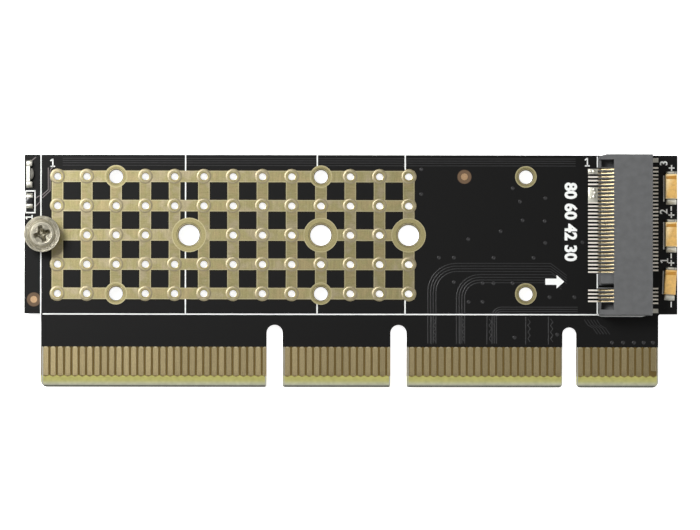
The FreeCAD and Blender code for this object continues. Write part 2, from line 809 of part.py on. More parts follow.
def make_screw(name, label, edge):
    """A wide-flanged screw with a cross recess, standing head up on its seat."""
    shank = "screw_thread / 2"
    crown = "flange_height + dome_height"
    rim = "flange_diameter / 2"
    body = turned(name, [("0", "-screw_shank"), (shank, "-screw_shank"), (shank, "0"), (rim, "0")] + edge + [
        ("dome_diameter / 2", "flange_height"), ("dome_diameter / 2 - dome_round", crown + " - dome_round"),
        ("dome_diameter / 4", crown), ("0", crown)])
    cross = new_sketch(body, name + "_cross", "XY_Plane", crown)
    arm = "recess_width / 2"
    half = "recess_slot / 2"
    draw_outline(cross, [
        (arm, half), (half, half), (half, arm), ("-" + half, arm), ("-" + half, half), ("-" + arm, half),
        ("-" + arm, "-" + half), ("-" + half, "-" + half), ("-" + half, "-" + arm), (half, "-" + arm),
        (half, "-" + half), (arm, "-" + half)])
    recess = pocket(body, name + "_recess", cross, "recess_depth")
    bind(recess, TaperAngle="-recess_taper")
    doc.recompute()
    return finish(body, label)


def make_screws():
    across, up = stand_places()[-1]
    softened = [("flange_diameter / 2", "flange_height - flange_edge"), ("flange_diameter / 2 - flange_edge", "flange_height")]
    front = make_screw("front_screw", "module_screw", softened)
    place(front, across, up, board_face + " + copper_thick + spacer_height")
    bind(front, Placement__Rotation__Angle="recess_turn * 1 deg")
    rear = make_screw("rear_screw", "spacer_screw", [("flange_diameter / 2", "flange_height")])
    place(rear, across, up, board_back)
    rear.Placement.Rotation = FreeCAD.Rotation(FreeCAD.Vector(1, 0, 0), 180)


# Indicator lamp, looking out sideways, and its resistor
def make_lamp():
    left = "-lamp_place"
    right = "-lamp_place + lamp_thick"
    foot = "lamp_centre - lamp_length / 2"
    head = "lamp_centre + lamp_length / 2"
    tall = board_face + " + lamp_height"
    finish(block("lamp_base", ((left, right), (foot + " + lamp_end", head + " - lamp_end"), (board_face, tall))), "led_base")
    wide = "-lamp_place + lamp_end_thick"
    ends = [block("lamp_foot_end", ((left, wide), (foot, foot + " + lamp_end"), (board_face, tall))),
            block("lamp_head_end", ((left, wide), (head + " - lamp_end", head), (board_face, tall)))]
    finish(gather("lamp_ends", ends), "led_terminals")
    body = new_body("lens")
    sketch = new_sketch(body, "lens_outline", "XY_Plane", board_face)
    rim = "lens_length / 2"
    draw_outline(sketch, [
        (right, "lamp_centre - " + rim), (right + " + lens_reach / 2", "lamp_centre - %s * 0.92" % rim),
        (right + " + lens_reach * 0.9", "lamp_centre - %s * 0.55" % rim), (right + " + lens_reach", "lamp_centre"),
        (right + " + lens_reach * 0.9", "lamp_centre + %s * 0.55" % rim),
        (right + " + lens_reach / 2", "lamp_centre + %s * 0.92" % rim), (right, "lamp_centre + " + rim)])
    pad(body, "lens_block", sketch, "lens_height")
    finish(body, "led_lens")


def make_resistor():
    left = "-resistor_across - resistor_width / 2"
    right = "-resistor_across + resistor_width / 2"
    foot = "resistor_up - resistor_length / 2"
    head = "resistor_up + resistor_length / 2"
    low = board_face + " + resistor_lip"
    chip = block("resistor_chip", ((left, right), (foot + " + resistor_lip", head + " - resistor_lip"),
                                   (low, low + " + resistor_height")))
    caps = [block("resistor_cap_%d" % number, (
        (left + " - resistor_lip", right + " + resistor_lip"), span, (board_face, low + " + resistor_height + resistor_lip")))
        for number, span in enumerate(((foot, foot + " + resistor_cap"), (head + " - resistor_cap", head)), start=1)]
    finish(chip, "resistor_body")
    finish(cut("resistor_ends", gather("resistor_caps", caps), chip), "resistor_terminals")


# Three tantalum capacitors beside the socket
def capacitor_profiles():
    half = amount("capacitor_length / 2")
    tall = amount("capacitor_height")
    draft = amount("capacitor_draft")
    thick = amount("strap_thick")
    rise = amount("strap_height")
    foot = amount("strap_foot")
    case = [(-half + draft, thick), (-half, rise), (-half + draft, tall), (half - draft, tall), (half, rise),
            (half - draft, thick)]
    strap = [(half - foot, 0), (half + thick, 0), (half + thick, rise), (half, rise), (half, thick), (half - foot, thick)]
    return case, strap


def mirrored(profile):
    return [(-side, tall) for side, tall in profile]


def ramp(reach, start):
    """Outline of a solder fillet that climbs to an end face."""
    return [(start, 0), (start + reach, 0), (start, amount("solder_height"))]


def standing(thing, across, up, turn=0):
    """Set a piece on the card's face, turned about the upright."""
    thing.Placement = FreeCAD.Placement(FreeCAD.Vector(across, up, amount(board_face)),
                                        FreeCAD.Rotation(FreeCAD.Vector(0, 0, 1), turn))


def make_capacitors():
    case, strap = capacitor_profiles()
    width = amount("capacitor_width")
    strap_width = amount("strap_width")
    start = amount("capacitor_length / 2 + strap_thick")
    solder_width = amount("strap_width + 2 * solder_side")
    for number in (1, 2, 3):
        up = amount("capacitor_middle + %d * capacitor_pitch" % (number - 2))
        across = amount("capacitor_across")
        turn = 0
        if number == 1:
            across -= amount("capacitor_drift")
            turn = -amount("capacitor_twist")
        pieces = (
            ("capacitor_case_%d", [prism_along("X", case, -width / 2, width)]),
            ("capacitor_terminals_%d", [prism_along("X", profile, -strap_width / 2, strap_width)
                                        for profile in (strap, mirrored(strap))]),
            ("capacitor_solder_%d", [
                prism_along("X", ramp(amount("solder_reach"), start), -solder_width / 2, solder_width),
                prism_along("X", mirrored(ramp(amount("solder_long_reach"), start)), -solder_width / 2, solder_width)]))
        for name, shapes in pieces:
            standing(finish_shape(name % number, shapes), across, up, turn)


def make_small_solder():
    """Solder at the ends of the lamp and of the resistor."""
    lamp = amount("lamp_end_thick")
    chip = amount("resistor_width")
    reach = amount("solder_reach / 2")
    shapes = []
    for across, up, half, width in (
            (amount("-lamp_place + lamp_end_thick / 2"), amount("lamp_centre"), amount("lamp_length / 2"), lamp),
            (amount("-resistor_across"), amount("resistor_up"), amount("resistor_length / 2"), chip)):
        for profile in (ramp(reach, half), mirrored(ramp(reach, half))):
            solid = prism_along("X", profile, -width / 2, width)
            shapes.append(solid.translated(FreeCAD.Vector(across, up, amount(board_face))))
    finish_shape("solder_fillets", shapes)


make_board()
make_edge_contacts()
make_dots()
make_socket()
make_socket_contacts()
make_tabs()
make_bridges()
make_spacer()
make_screws()
make_lamp()
make_resistor()
make_capacitors()
make_small_solder()
doc.recompute()

faults = [thing.Name for thing in doc.Objects if "Invalid" in thing.State or "Error" in thing.State]
faults += [thing.Label for thing in nodes if thing.Shape.isNull() or not thing.Shape.isValid()]
if faults:
    raise ValueError("not built: " + ", ".join(faults))

os.makedirs("parts", exist_ok=True)
for thing in nodes:
    thing.Shape.exportStep("parts/%s.step" % thing.Label)
    print(thing.Label, len(thing.Shape.Solids), round(thing.Shape.Volume, 3))
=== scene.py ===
import bpy
import json
import math
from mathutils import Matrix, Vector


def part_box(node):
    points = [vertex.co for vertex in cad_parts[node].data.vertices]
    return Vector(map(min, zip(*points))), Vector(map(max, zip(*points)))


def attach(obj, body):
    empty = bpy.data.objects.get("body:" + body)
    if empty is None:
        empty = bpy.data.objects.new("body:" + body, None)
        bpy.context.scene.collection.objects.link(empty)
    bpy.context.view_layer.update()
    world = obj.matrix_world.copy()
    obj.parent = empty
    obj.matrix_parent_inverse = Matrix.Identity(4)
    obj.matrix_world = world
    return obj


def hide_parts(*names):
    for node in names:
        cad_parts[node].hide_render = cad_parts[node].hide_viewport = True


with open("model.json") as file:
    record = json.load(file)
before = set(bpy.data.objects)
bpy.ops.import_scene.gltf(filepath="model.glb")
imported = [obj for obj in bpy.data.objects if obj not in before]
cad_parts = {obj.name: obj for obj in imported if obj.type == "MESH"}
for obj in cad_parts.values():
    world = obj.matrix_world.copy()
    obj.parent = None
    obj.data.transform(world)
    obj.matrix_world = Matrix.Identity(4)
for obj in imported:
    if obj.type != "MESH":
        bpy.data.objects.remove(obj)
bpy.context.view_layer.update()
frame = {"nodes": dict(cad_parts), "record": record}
mm = 0.001
boardLow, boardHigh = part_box("circuit_board")
backZ = boardLow[2] / mm              # back face of the laminate
copperZ = boardHigh[2] / mm           # top of the raised copper
faceZ = copperZ - 0.05                # front face, on the mask
midZ = (backZ + faceZ) / 2
print("frame loaded")

# The camera looks down from far off, so upright sides stay hidden; distances in mm
view = {"distance": 1500, "elevation": 88.0, "pixelsPerMm": 7.32, "aimX": -0.034, "aimY": 0.82, "roll": 0.09,
        "sensor": 36, "pixelsWide": 700}
tilt = math.radians(90 - view["elevation"])
bpy.ops.object.camera_add(location=(view["aimX"] * mm,
                                    (view["aimY"] - view["distance"] * math.sin(tilt)) * mm,
                                    (faceZ + view["distance"] * math.cos(tilt)) * mm),
                          rotation=(tilt, 0, math.radians(view["roll"])))
camera = bpy.context.object
camera.data.sensor_width = view["sensor"]
camera.data.lens = view["pixelsPerMm"] * view["sensor"] * view["distance"] / view["pixelsWide"]
camera.data.clip_start = 0.01
camera.data.clip_end = 20
bpy.context.scene.camera = camera
bpy.context.scene.view_settings.view_transform = "Standard"


def toLinear(hexCode):
    parts = [int(hexCode[start:start + 2], 16) / 255 for start in (1, 3, 5)]
    return [part / 12.92 if part <= 0.04045 else ((part + 0.055) / 1.055) ** 2.4 for part in parts] + [1.0]


# Adds a shader node: wires holds a link or a value for each socket, settings its own fields
def addNode(tree, kind, wires=None, **settings):
    node = tree.nodes.new("ShaderNode" + kind)
    for key, value in settings.items():
        setattr(node, key, value)
    for socket, value in (wires or {}).items():
        if isinstance(value, bpy.types.NodeSocket):
            tree.links.new(value, node.inputs[socket])
        else:
            node.inputs[socket].default_value = value
    return node


def newMaterial(name, colour, roughness, metallic=0.0, specular=0.5):
    material = bpy.data.materials.new(name)
    material.use_nodes = True
    shader = material.node_tree.nodes["Principled BSDF"]
    shader.inputs["Base Color"].default_value = toLinear(colour)
    shader.inputs["Roughness"].default_value = roughness
    shader.inputs["Metallic"].default_value = metallic
    shader.inputs["Specular IOR Level"].default_value = specular
    return material, material.node_tree, shader


def deselectAll():
    if bpy.context.object and bpy.context.object.mode == "EDIT":
        bpy.ops.object.mode_set(mode="OBJECT")
    bpy.ops.object.select_all(action="DESELECT")


def pick(*things):
    deselectAll()
    for thing in things:
        thing.select_set(True)
    bpy.context.view_layer.objects.active = things[0]
    return things[0]


def applyPlace(thing):
    pick(thing)
    bpy.ops.object.transform_apply(location=True, rotation=True, scale=True)
    return thing


# A soft box close by at the upper left, so metal and mask are brighter there, and two weak fills
lamps = {"key": {"at": (-150, 105, 262), "size": 140, "watts": 1.0},
         "fill": {"at": (150, -400, 300), "size": 300, "watts": 0.35},
         "right": {"at": (300, 40, 210), "size": 160, "watts": 0.25}}
for lightName, spot in lamps.items():
    x, y, z = spot["at"]
    deselectAll()
    bpy.ops.object.light_add(type="AREA", location=(x * mm, y * mm, z * mm),
                             rotation=(0, math.atan2(math.hypot(x, y), z), math.atan2(y, x)))
    light = bpy.context.object
    light.name = lightName
    light.data.shape = "DISK"
    light.data.size = spot["size"] * mm
    light.data.energy = spot["watts"]
    light.visible_camera = False

# The room is bright overhead and dim at the sides, which gives round metal its dark edges
room = {"floor": 0.35, "side": 0.18, "top": 0.37}
world = bpy.data.worlds.new("studioRoom")
bpy.context.scene.world = world
world.use_nodes = True
sky = world.node_tree
upward = addNode(sky, "SeparateXYZ", {0: addNode(sky, "TexCoord").outputs["Generated"]}).outputs[2]
ceiling = addNode(sky, "MapRange", {0: upward, 1: 0.1, 2: 0.95, 3: room["side"], 4: room["top"]}).outputs[0]
below = addNode(sky, "MapRange", {0: upward, 1: 0.0, 2: -0.3, 3: 0.0, 4: room["floor"]}).outputs[0]
glow = addNode(sky, "Math", {0: ceiling, 1: below}, operation="MAXIMUM").outputs[0]
sky.links.new(glow, sky.nodes["Background"].inputs["Strength"])
sky.nodes["Background"].inputs["Color"].default_value = toLinear("#f7f6f4")

# The card leans by under a degree: it rests on the rear screw's head and on its right edge
table = {"across": 4000, "leanRun": 86.7, "leanRise": 1.2, "restX": -42.1, "drop": 0.02, "glow": 0.88}
deselectAll()
bpy.ops.mesh.primitive_plane_add(size=table["across"] * mm,
                                 location=(table["restX"] * mm, 0, -table["drop"] * mm),
                                 rotation=(0, -math.atan(table["leanRise"] / table["leanRun"]), 0))
tableTop = applyPlace(bpy.context.object)
tableTop.name = "tableTop"
# matte paper sheet, lit from under so that it reads white
paper, tree, shader = newMaterial("whitePaper", "#f6f6f6", 0.9, specular=0.1)
shader.inputs["Emission Color"].default_value = toLinear("#ffffff")
shader.inputs["Emission Strength"].default_value = table["glow"]
tableTop.data.materials.append(paper)
print("camera, lights and table set")


def placeInMm(tree):
    place = addNode(tree, "TexCoord").outputs["Object"]
    return addNode(tree, "VectorMath", {0: place, 1: (1000, 1000, 1000)}, operation="MULTIPLY").outputs[0]


# Bump from noise whose lumps are size mm across
def grain(tree, shader, place, size, depth, detail=3.0):
    noise = addNode(tree, "TexNoise", {"Vector": place, "Scale": 1 / size, "Detail": detail})
    bump = addNode(tree, "Bump", {"Height": noise.outputs[0], "Distance": depth * mm, "Strength": 1.0})
    tree.links.new(bump.outputs[0], shader.inputs["Normal"])
    return noise


# Colour stops of a ramp node; its first and last ones are already there
def setStops(ramp, stops):
    places = ramp.color_ramp.elements
    places[0].position, places[0].color = stops[0][0], toLinear(stops[0][1])
    places[1].position, places[1].color = stops[-1][0], toLinear(stops[-1][1])
    for position, colour in stops[1:-1]:
        places.new(position).color = toLinear(colour)


# For a map range: nearly all noise lies between these
noiseSpan = {1: 0.3, 2: 0.7}

# The board's mask, bare laminate and dot rings, and the copper grid on it; places and widths in mm
maskLook = {"colour": "#070707", "roughness": 0.36, "specular": 0.21, "peel": 0.5, "peelDepth": 0.003,
            "edge": "#2b2a22", "gap": "#5c4b22", "bareTop": -10.38, "gapFoot": -14.38, "foot": -15.85,
            "bands": ((-15.85, "#5b5c55"), (-15.66, "#5b5c55"), (-15.56, "#a0a08e"), (-15.35, "#adad8c"),
                      (-15.0, "#aaa768"), (-14.38, "#a6a15c")),
            "sideRims": ((-42.15, -11.55), (-9.19, 5.39), (7.75, 28.93), (30.9, 41.95)),
            "rimWide": 0.14, "rimHue": "#a5a59c", "wallReach": 0.79,
            "dots": ((-43.3, -3.95), (15.5, 12.9)), "dotRing": 0.95, "ring": "#66523f", "ringSoft": 0.06}
gridLook = {"left": -40.1, "foot": -3.1, "spanX": 48.0, "spanY": 16.0, "pitch": 4.0, "half": 0.775,
            "rim": 0.14, "ink": 0.2, "hues": ("#aea077", "#a59d70", "#b1a585"), "alongShade": 0.87,
            "paintedEdgeHighlight": "#d8cfaa", "outline": "#241d08"}


def maskedBoard():
    # black photo-imaged solder mask over glass-epoxy: a soft sheen, with gold-flashed copper where it is open
    material, tree, shader = newMaterial("blackSolderMask", maskLook["colour"], maskLook["roughness"],
                                         specular=maskLook["specular"])
    place = placeInMm(tree)
    x, y, z = addNode(tree, "SeparateXYZ", {0: place}).outputs
    copper = addNode(tree, "Math", {0: z, 1: faceZ + 0.02}, operation="GREATER_THAN").outputs[0]
    wall = addNode(tree, "Math", {0: z, 1: midZ, 2: maskLook["wallReach"]}, operation="COMPARE").outputs[0]
    front = addNode(tree, "Math", {0: z, 1: midZ}, operation="GREATER_THAN").outputs[0]
    onTongue = addNode(tree, "Math", {0: y, 1: maskLook["bareTop"]}, operation="LESS_THAN").outputs[0]

    # signed distance from the edge of the grid of bars: below zero on the copper
    half, turn = gridLook["half"], gridLook["pitch"] / 2
    spanX, spanY = gridLook["spanX"] / 2, gridLook["spanY"] / 2
    corner = (gridLook["left"], gridLook["foot"], 0)
    middle = (gridLook["left"] + spanX, gridLook["foot"] + spanY, 0)
    fromCorner = addNode(tree, "VectorMath", {0: place, 1: corner}, operation="SUBTRACT").outputs[0]
    folded = addNode(tree, "VectorMath", {0: fromCorner, 1: (turn,) * 3, 2: (-turn,) * 3},
                     operation="WRAP").outputs[0]
    fromLine = addNode(tree, "VectorMath", {0: folded}, operation="ABSOLUTE").outputs[0]
    fromMiddle = addNode(tree, "VectorMath", {0: place, 1: middle}, operation="SUBTRACT").outputs[0]
    spread = addNode(tree, "VectorMath", {0: fromMiddle}, operation="ABSOLUTE").outputs[0]
    outside = addNode(tree, "VectorMath", {0: spread, 1: (spanX, spanY, 0)}, operation="SUBTRACT").outputs[0]
    fromBars = addNode(tree, "VectorMath", {0: fromLine, 1: outside}, operation="MAXIMUM").outputs[0]
    fromColumn, fromRow, _ = addNode(tree, "SeparateXYZ", {0: fromBars}).outputs
    besideGrid, beyondGrid, _ = addNode(tree, "SeparateXYZ", {0: outside}).outputs
    nearest = addNode(tree, "Math", {0: fromColumn, 1: fromRow}, operation="MINIMUM").outputs[0]
    outer = addNode(tree, "Math", {0: besideGrid, 1: beyondGrid}, operation="MAXIMUM").outputs[0]
    furthest = addNode(tree, "Math", {0: nearest, 1: outer}, operation="MAXIMUM").outputs[0]
    reach = addNode(tree, "Math", {0: furthest, 1: half}, operation="SUBTRACT").outputs[0]
    onBar = addNode(tree, "Math", {0: reach, 1: 0.02}, operation="LESS_THAN").outputs[0]
    # a painted highlight along the edges of the copper bars
    rim = addNode(tree, "MapRange", {0: reach, 1: -gridLook["rim"], 2: 0.0, 3: 0.0, 4: 0.75}).outputs[0]
    rim = addNode(tree, "Math", {0: rim, 1: onBar}, operation="MULTIPLY").outputs[0]
    outline = addNode(tree, "MapRange", {0: reach, 1: 0.0, 2: gridLook["ink"], 3: 1.0, 4: 0.0}).outputs[0]
    outline = addNode(tree, "Math", {0: outline, 1: front}, operation="MULTIPLY").outputs[0]

    # brushed plating: streaks run across each bar, and the colour drifts over a millimetre or two
    onColumn = addNode(tree, "Math", {0: fromRow, 1: fromColumn}, operation="GREATER_THAN").outputs[0]
    tall = addNode(tree, "VectorMath", {0: place, 1: (5.0, 0.5, 1.0)}, operation="MULTIPLY").outputs[0]
    flat = addNode(tree, "VectorMath", {0: place, 1: (0.7, 5.0, 1.0)}, operation="MULTIPLY").outputs[0]
    brushed = addNode(tree, "Mix", {0: onColumn, 4: tall, 5: flat}, data_type="VECTOR").outputs[1]
    streaks = addNode(tree, "TexNoise", {"Vector": brushed, "Scale": 1.0, "Detail": 3.0}).outputs[0]
    drift = addNode(tree, "TexNoise", {"Vector": place, "Scale": 0.55, "Detail": 3.0}).outputs[0]
    fine = addNode(tree, "TexNoise", {"Vector": place, "Scale": 6.0, "Detail": 4.0}).outputs[0]
    hue = addNode(tree, "ValToRGB", {0: drift})
    setStops(hue, list(zip((0.36, 0.5, 0.64), gridLook["hues"])))
    tone = addNode(tree, "MapRange", {0: streaks, **noiseSpan, 3: 0.9, 4: 1.1}).outputs[0]
    speck = addNode(tree, "MapRange", {0: fine, **noiseSpan, 3: 0.88, 4: 1.1}).outputs[0]
    shade = addNode(tree, "MapRange", {0: onColumn, 3: 1.0, 4: gridLook["alongShade"]}).outputs[0]
    for factor in (speck, shade):
        tone = addNode(tree, "Math", {0: tone, 1: factor}, operation="MULTIPLY").outputs[0]
    metal = addNode(tree, "VectorMath", {0: hue.outputs[0], "Scale": tone}, operation="SCALE").outputs[0]
    # the painted highlight is mixed into the metal colour at the bar edges
    metal = addNode(tree, "Mix", {0: rim, 6: metal, 7: toLinear(gridLook["paintedEdgeHighlight"])},
                    data_type="RGBA").outputs[2]

    # bare laminate of the tongue: dark between contacts, then yellow-green, the ground bevel, and dark grey
    # along the foot
    scallop = addNode(tree, "Math", {0: x, 1: 2 * math.pi, 2: -0.7 * math.pi},
                      operation="MULTIPLY_ADD").outputs[0]
    scallop = addNode(tree, "Math", {0: scallop}, operation="COSINE").outputs[0]
    gapDepth = addNode(tree, "Math", {0: scallop, 1: 0.1, 2: y}, operation="MULTIPLY_ADD").outputs[0]
    gapShare = addNode(tree, "MapRange", {0: gapDepth, 1: maskLook["gapFoot"] - 0.08,
                                          2: maskLook["gapFoot"] + 0.08}).outputs[0]
    mottle = addNode(tree, "TexNoise", {"Vector": place, "Scale": 1.6, "Detail": 3.0}).outputs[0]
    foot, head = maskLook["foot"], maskLook["gapFoot"]
    level = addNode(tree, "MapRange", {0: y, 1: foot, 2: head}).outputs[0]
    bands = addNode(tree, "ValToRGB", {0: level})
    setStops(bands, [((rise - foot) / (head - foot), colour) for rise, colour in maskLook["bands"]])
    weave = addNode(tree, "MapRange", {0: mottle, **noiseSpan, 3: 0.9, 4: 1.1}).outputs[0]
    bare = addNode(tree, "VectorMath", {0: bands.outputs[0], "Scale": weave}, operation="SCALE").outputs[0]
    bare = addNode(tree, "Mix", {0: gapShare, 6: bare, 7: toLinear(maskLook["gap"])},
                   data_type="RGBA").outputs[2]
    for left, right in maskLook["sideRims"]:
        fromSide = addNode(tree, "Math", {0: x, 1: (left + right) / 2}, operation="SUBTRACT").outputs[0]
        fromSide = addNode(tree, "Math", {0: fromSide}, operation="ABSOLUTE").outputs[0]
        inside, thin = (right - left) / 2, maskLook["rimWide"] / 2
        sideRim = addNode(tree, "Math", {0: fromSide, 1: inside - thin, 2: thin},
                          operation="COMPARE").outputs[0]
        bare = addNode(tree, "Mix", {0: sideRim, 6: bare, 7: toLinear(maskLook["rimHue"])},
                       data_type="RGBA").outputs[2]

    base = toLinear(maskLook["colour"])
    for share, colour in ((wall, maskLook["edge"]), (outline, gridLook["outline"])):
        base = addNode(tree, "Mix", {0: share, 6: base, 7: toLinear(colour)}, data_type="RGBA").outputs[2]
    # bare laminate rings round the reference dots
    flatPlace = addNode(tree, "CombineXYZ", {0: x, 1: y, 2: 0.0}).outputs[0]
    for dotX, dotY in maskLook["dots"]:
        away = addNode(tree, "VectorMath", {0: flatPlace, 1: (dotX, dotY, 0)},
                       operation="DISTANCE").outputs["Value"]
        ring = addNode(tree, "MapRange", {0: away, 1: maskLook["dotRing"] + maskLook["ringSoft"],
                                          2: maskLook["dotRing"] - maskLook["ringSoft"], 3: 0.0,
                                          4: front}).outputs[0]
        base = addNode(tree, "Mix", {0: ring, 6: base, 7: toLinear(maskLook["ring"])},
                       data_type="RGBA").outputs[2]
    for share, over in ((onTongue, bare), (copper, metal)):
        base = addNode(tree, "Mix", {0: share, 6: base, 7: over}, data_type="RGBA").outputs[2]
    tree.links.new(base, shader.inputs["Base Color"])
    tree.links.new(copper, shader.inputs["Metallic"])
    rough = addNode(tree, "MapRange", {0: onTongue, 3: maskLook["roughness"], 4: 0.6}).outputs[0]
    tree.links.new(rough, shader.inputs["Roughness"])
    peel = addNode(tree, "TexNoise", {"Vector": place, "Scale": 1 / maskLook["peel"],
                                      "Detail": 3.0}).outputs[0]
    height = addNode(tree, "Mix", {0: copper, 2: peel, 3: streaks}).outputs[0]
    bump = addNode(tree, "Bump", {"Height": height, "Distance": maskLook["peelDepth"] * mm, "Strength": 1.0})
    tree.links.new(bump.outputs[0], shader.inputs["Normal"])
    return material


# A finish with a fine grain and a slight drift of its colour
def plainFinish(name, colour, roughness, metallic=0.0, size=0.3, depth=0.004, tint=0.12, specular=0.5):
    material, tree, shader = newMaterial(name, colour, roughness, metallic, specular)
    place = placeInMm(tree)
    noise = grain(tree, shader, place, size, depth)
    shade = addNode(tree, "MapRange", {0: noise.outputs[0], **noiseSpan, 3: 1 - tint, 4: 1 + tint}).outputs[0]
    hue = addNode(tree, "VectorMath", {0: toLinear(colour)[:3], "Scale": shade}, operation="SCALE").outputs[0]
    tree.links.new(hue, shader.inputs["Base Color"])
    return material


# Hard gold on the edge strips: each strip a little different, with a painted highlight along its rim, and
# darker at the foot
stripLook = {"hue": "#a3946f", "rimHue": "#e2d8b4", "rimFrom": 0.25, "rimTo": 0.34, "shift": 0.15,
             "headFrom": -10.6, "headTo": -10.36, "footFrom": -13.5, "footTo": -14.35, "footShade": 0.88}


def stripFinish():
    # thin gold over nickel, satin, worn by insertion; the paler rim is a painted highlight
    material, tree, shader = newMaterial("flashGoldPlate", stripLook["hue"], 0.38, 1.0)
    place = placeInMm(tree)
    x, y, z = addNode(tree, "SeparateXYZ", {0: place}).outputs
    shifted = addNode(tree, "Math", {0: x, 1: stripLook["shift"]}, operation="ADD").outputs[0]
    number = addNode(tree, "Math", {0: shifted}, operation="FLOOR").outputs[0]
    part = addNode(tree, "Math", {0: shifted}, operation="FRACT").outputs[0]
    fromMiddle = addNode(tree, "Math", {0: part, 1: 0.5}, operation="SUBTRACT").outputs[0]
    fromMiddle = addNode(tree, "Math", {0: fromMiddle}, operation="ABSOLUTE").outputs[0]
    # a painted highlight along the sides and the head of each strip
    sides = addNode(tree, "MapRange", {0: fromMiddle, 1: stripLook["rimFrom"], 2: stripLook["rimTo"],
                                       3: 0.0, 4: 0.6}).outputs[0]
    head = addNode(tree, "MapRange", {0: y, 1: stripLook["headFrom"], 2: stripLook["headTo"],
                                      3: 0.0, 4: 0.7}).outputs[0]
    rim = addNode(tree, "Math", {0: sides, 1: head}, operation="MAXIMUM").outputs[0]
    each = addNode(tree, "TexWhiteNoise", {"W": number}, noise_dimensions="1D").outputs[0]
    each = addNode(tree, "MapRange", {0: each, 3: 0.9, 4: 1.08}).outputs[0]
    foot = addNode(tree, "MapRange", {0: y, 1: stripLook["footFrom"], 2: stripLook["footTo"],
                                      3: 1.0, 4: stripLook["footShade"]}).outputs[0]
    noise = grain(tree, shader, place, 0.14, 0.004)
    tone = addNode(tree, "MapRange", {0: noise.outputs[0], **noiseSpan, 3: 0.88, 4: 1.12}).outputs[0]
    for factor in (each, foot):
        tone = addNode(tree, "Math", {0: tone, 1: factor}, operation="MULTIPLY").outputs[0]
    hue = addNode(tree, "Mix", {0: rim, 6: toLinear(stripLook["hue"]), 7: toLinear(stripLook["rimHue"])},
                  data_type="RGBA").outputs[2]
    hue = addNode(tree, "VectorMath", {0: hue, "Scale": tone}, operation="SCALE").outputs[0]
    tree.links.new(hue, shader.inputs["Base Color"])
    return material


# Gold-flashed springs whose tails are wetted with bright solder outside the housing
springLook = {"spring": "#b7a783", "tail": "#f6f0e6", "front": 33.75, "rear": 41.15, "soft": 0.15}


def springFinish():
    # gold flash inside the housing, frosted solder on the tails
    material, tree, shader = newMaterial("goldSpringSolderedTail", springLook["spring"], 0.3, 1.0)
    place = placeInMm(tree)
    along = addNode(tree, "SeparateXYZ", {0: place}).outputs[0]
    soft = springLook["soft"]
    front = addNode(tree, "MapRange", {0: along, 1: springLook["front"] + soft,
                                       2: springLook["front"] - soft}).outputs[0]
    rear = addNode(tree, "MapRange", {0: along, 1: springLook["rear"] - soft,
                                      2: springLook["rear"] + soft}).outputs[0]
    wetted = addNode(tree, "Math", {0: front, 1: rear}, operation="MAXIMUM").outputs[0]
    hue = addNode(tree, "Mix", {0: wetted, 6: toLinear(springLook["spring"]),
                                7: toLinear(springLook["tail"])}, data_type="RGBA").outputs[2]
    noise = grain(tree, shader, place, 0.14, 0.006)
    shade = addNode(tree, "MapRange", {0: noise.outputs[0], **noiseSpan, 3: 0.9, 4: 1.1}).outputs[0]
    hue = addNode(tree, "VectorMath", {0: hue, "Scale": shade}, operation="SCALE").outputs[0]
    tree.links.new(hue, shader.inputs["Base Color"])
    rough = addNode(tree, "MapRange", {0: wetted, 3: 0.34, 4: 0.5}).outputs[0]
    tree.links.new(rough, shader.inputs["Roughness"])
    return material


# Moulded yellow case: paler on its sharp edges, and a coarse mottle
caseLook = {"hue": "#cd972f", "deep": "#b8801f", "rim": "#f6e2ae", "grain": 0.22}


def caseFinish():
    # glass-filled epoxy moulding, satin
    material, tree, shader = newMaterial("yellowEpoxy", caseLook["hue"], 0.5, specular=0.18)
    place = placeInMm(tree)
    coarse = addNode(tree, "TexNoise", {"Vector": place, "Scale": 2.2, "Detail": 4.0}).outputs[0]
    patch = addNode(tree, "MapRange", {0: coarse, 1: 0.42, 2: 0.62}).outputs[0]
    hue = addNode(tree, "Mix", {0: patch, 6: toLinear(caseLook["hue"]), 7: toLinear(caseLook["deep"])},
                  data_type="RGBA").outputs[2]
    # paler where the surface is sharply convex, on the case's edges
    paleEdges = addNode(tree, "NewGeometry").outputs["Pointiness"]
    paleEdges = addNode(tree, "MapRange", {0: paleEdges, 1: 0.52, 2: 0.6, 3: 0.0, 4: 0.8}).outputs[0]
    hue = addNode(tree, "Mix", {0: paleEdges, 6: hue, 7: toLinear(caseLook["rim"])}, data_type="RGBA").outputs[2]
    noise = grain(tree, shader, place, caseLook["grain"], 0.008)
    shade = addNode(tree, "MapRange", {0: noise.outputs[0], **noiseSpan, 3: 0.92, 4: 1.08}).outputs[0]
    hue = addNode(tree, "VectorMath", {0: hue, "Scale": shade}, operation="SCALE").outputs[0]
    tree.links.new(hue, shader.inputs["Base Color"])
    return material


# Turned metal: fine rings round the screw's axis, a little tarnish, and painted shade down in the recess
turnedLook = {"topZ": 6.5, "recess": 1.4, "paintedRecessShade": "#554f36"}


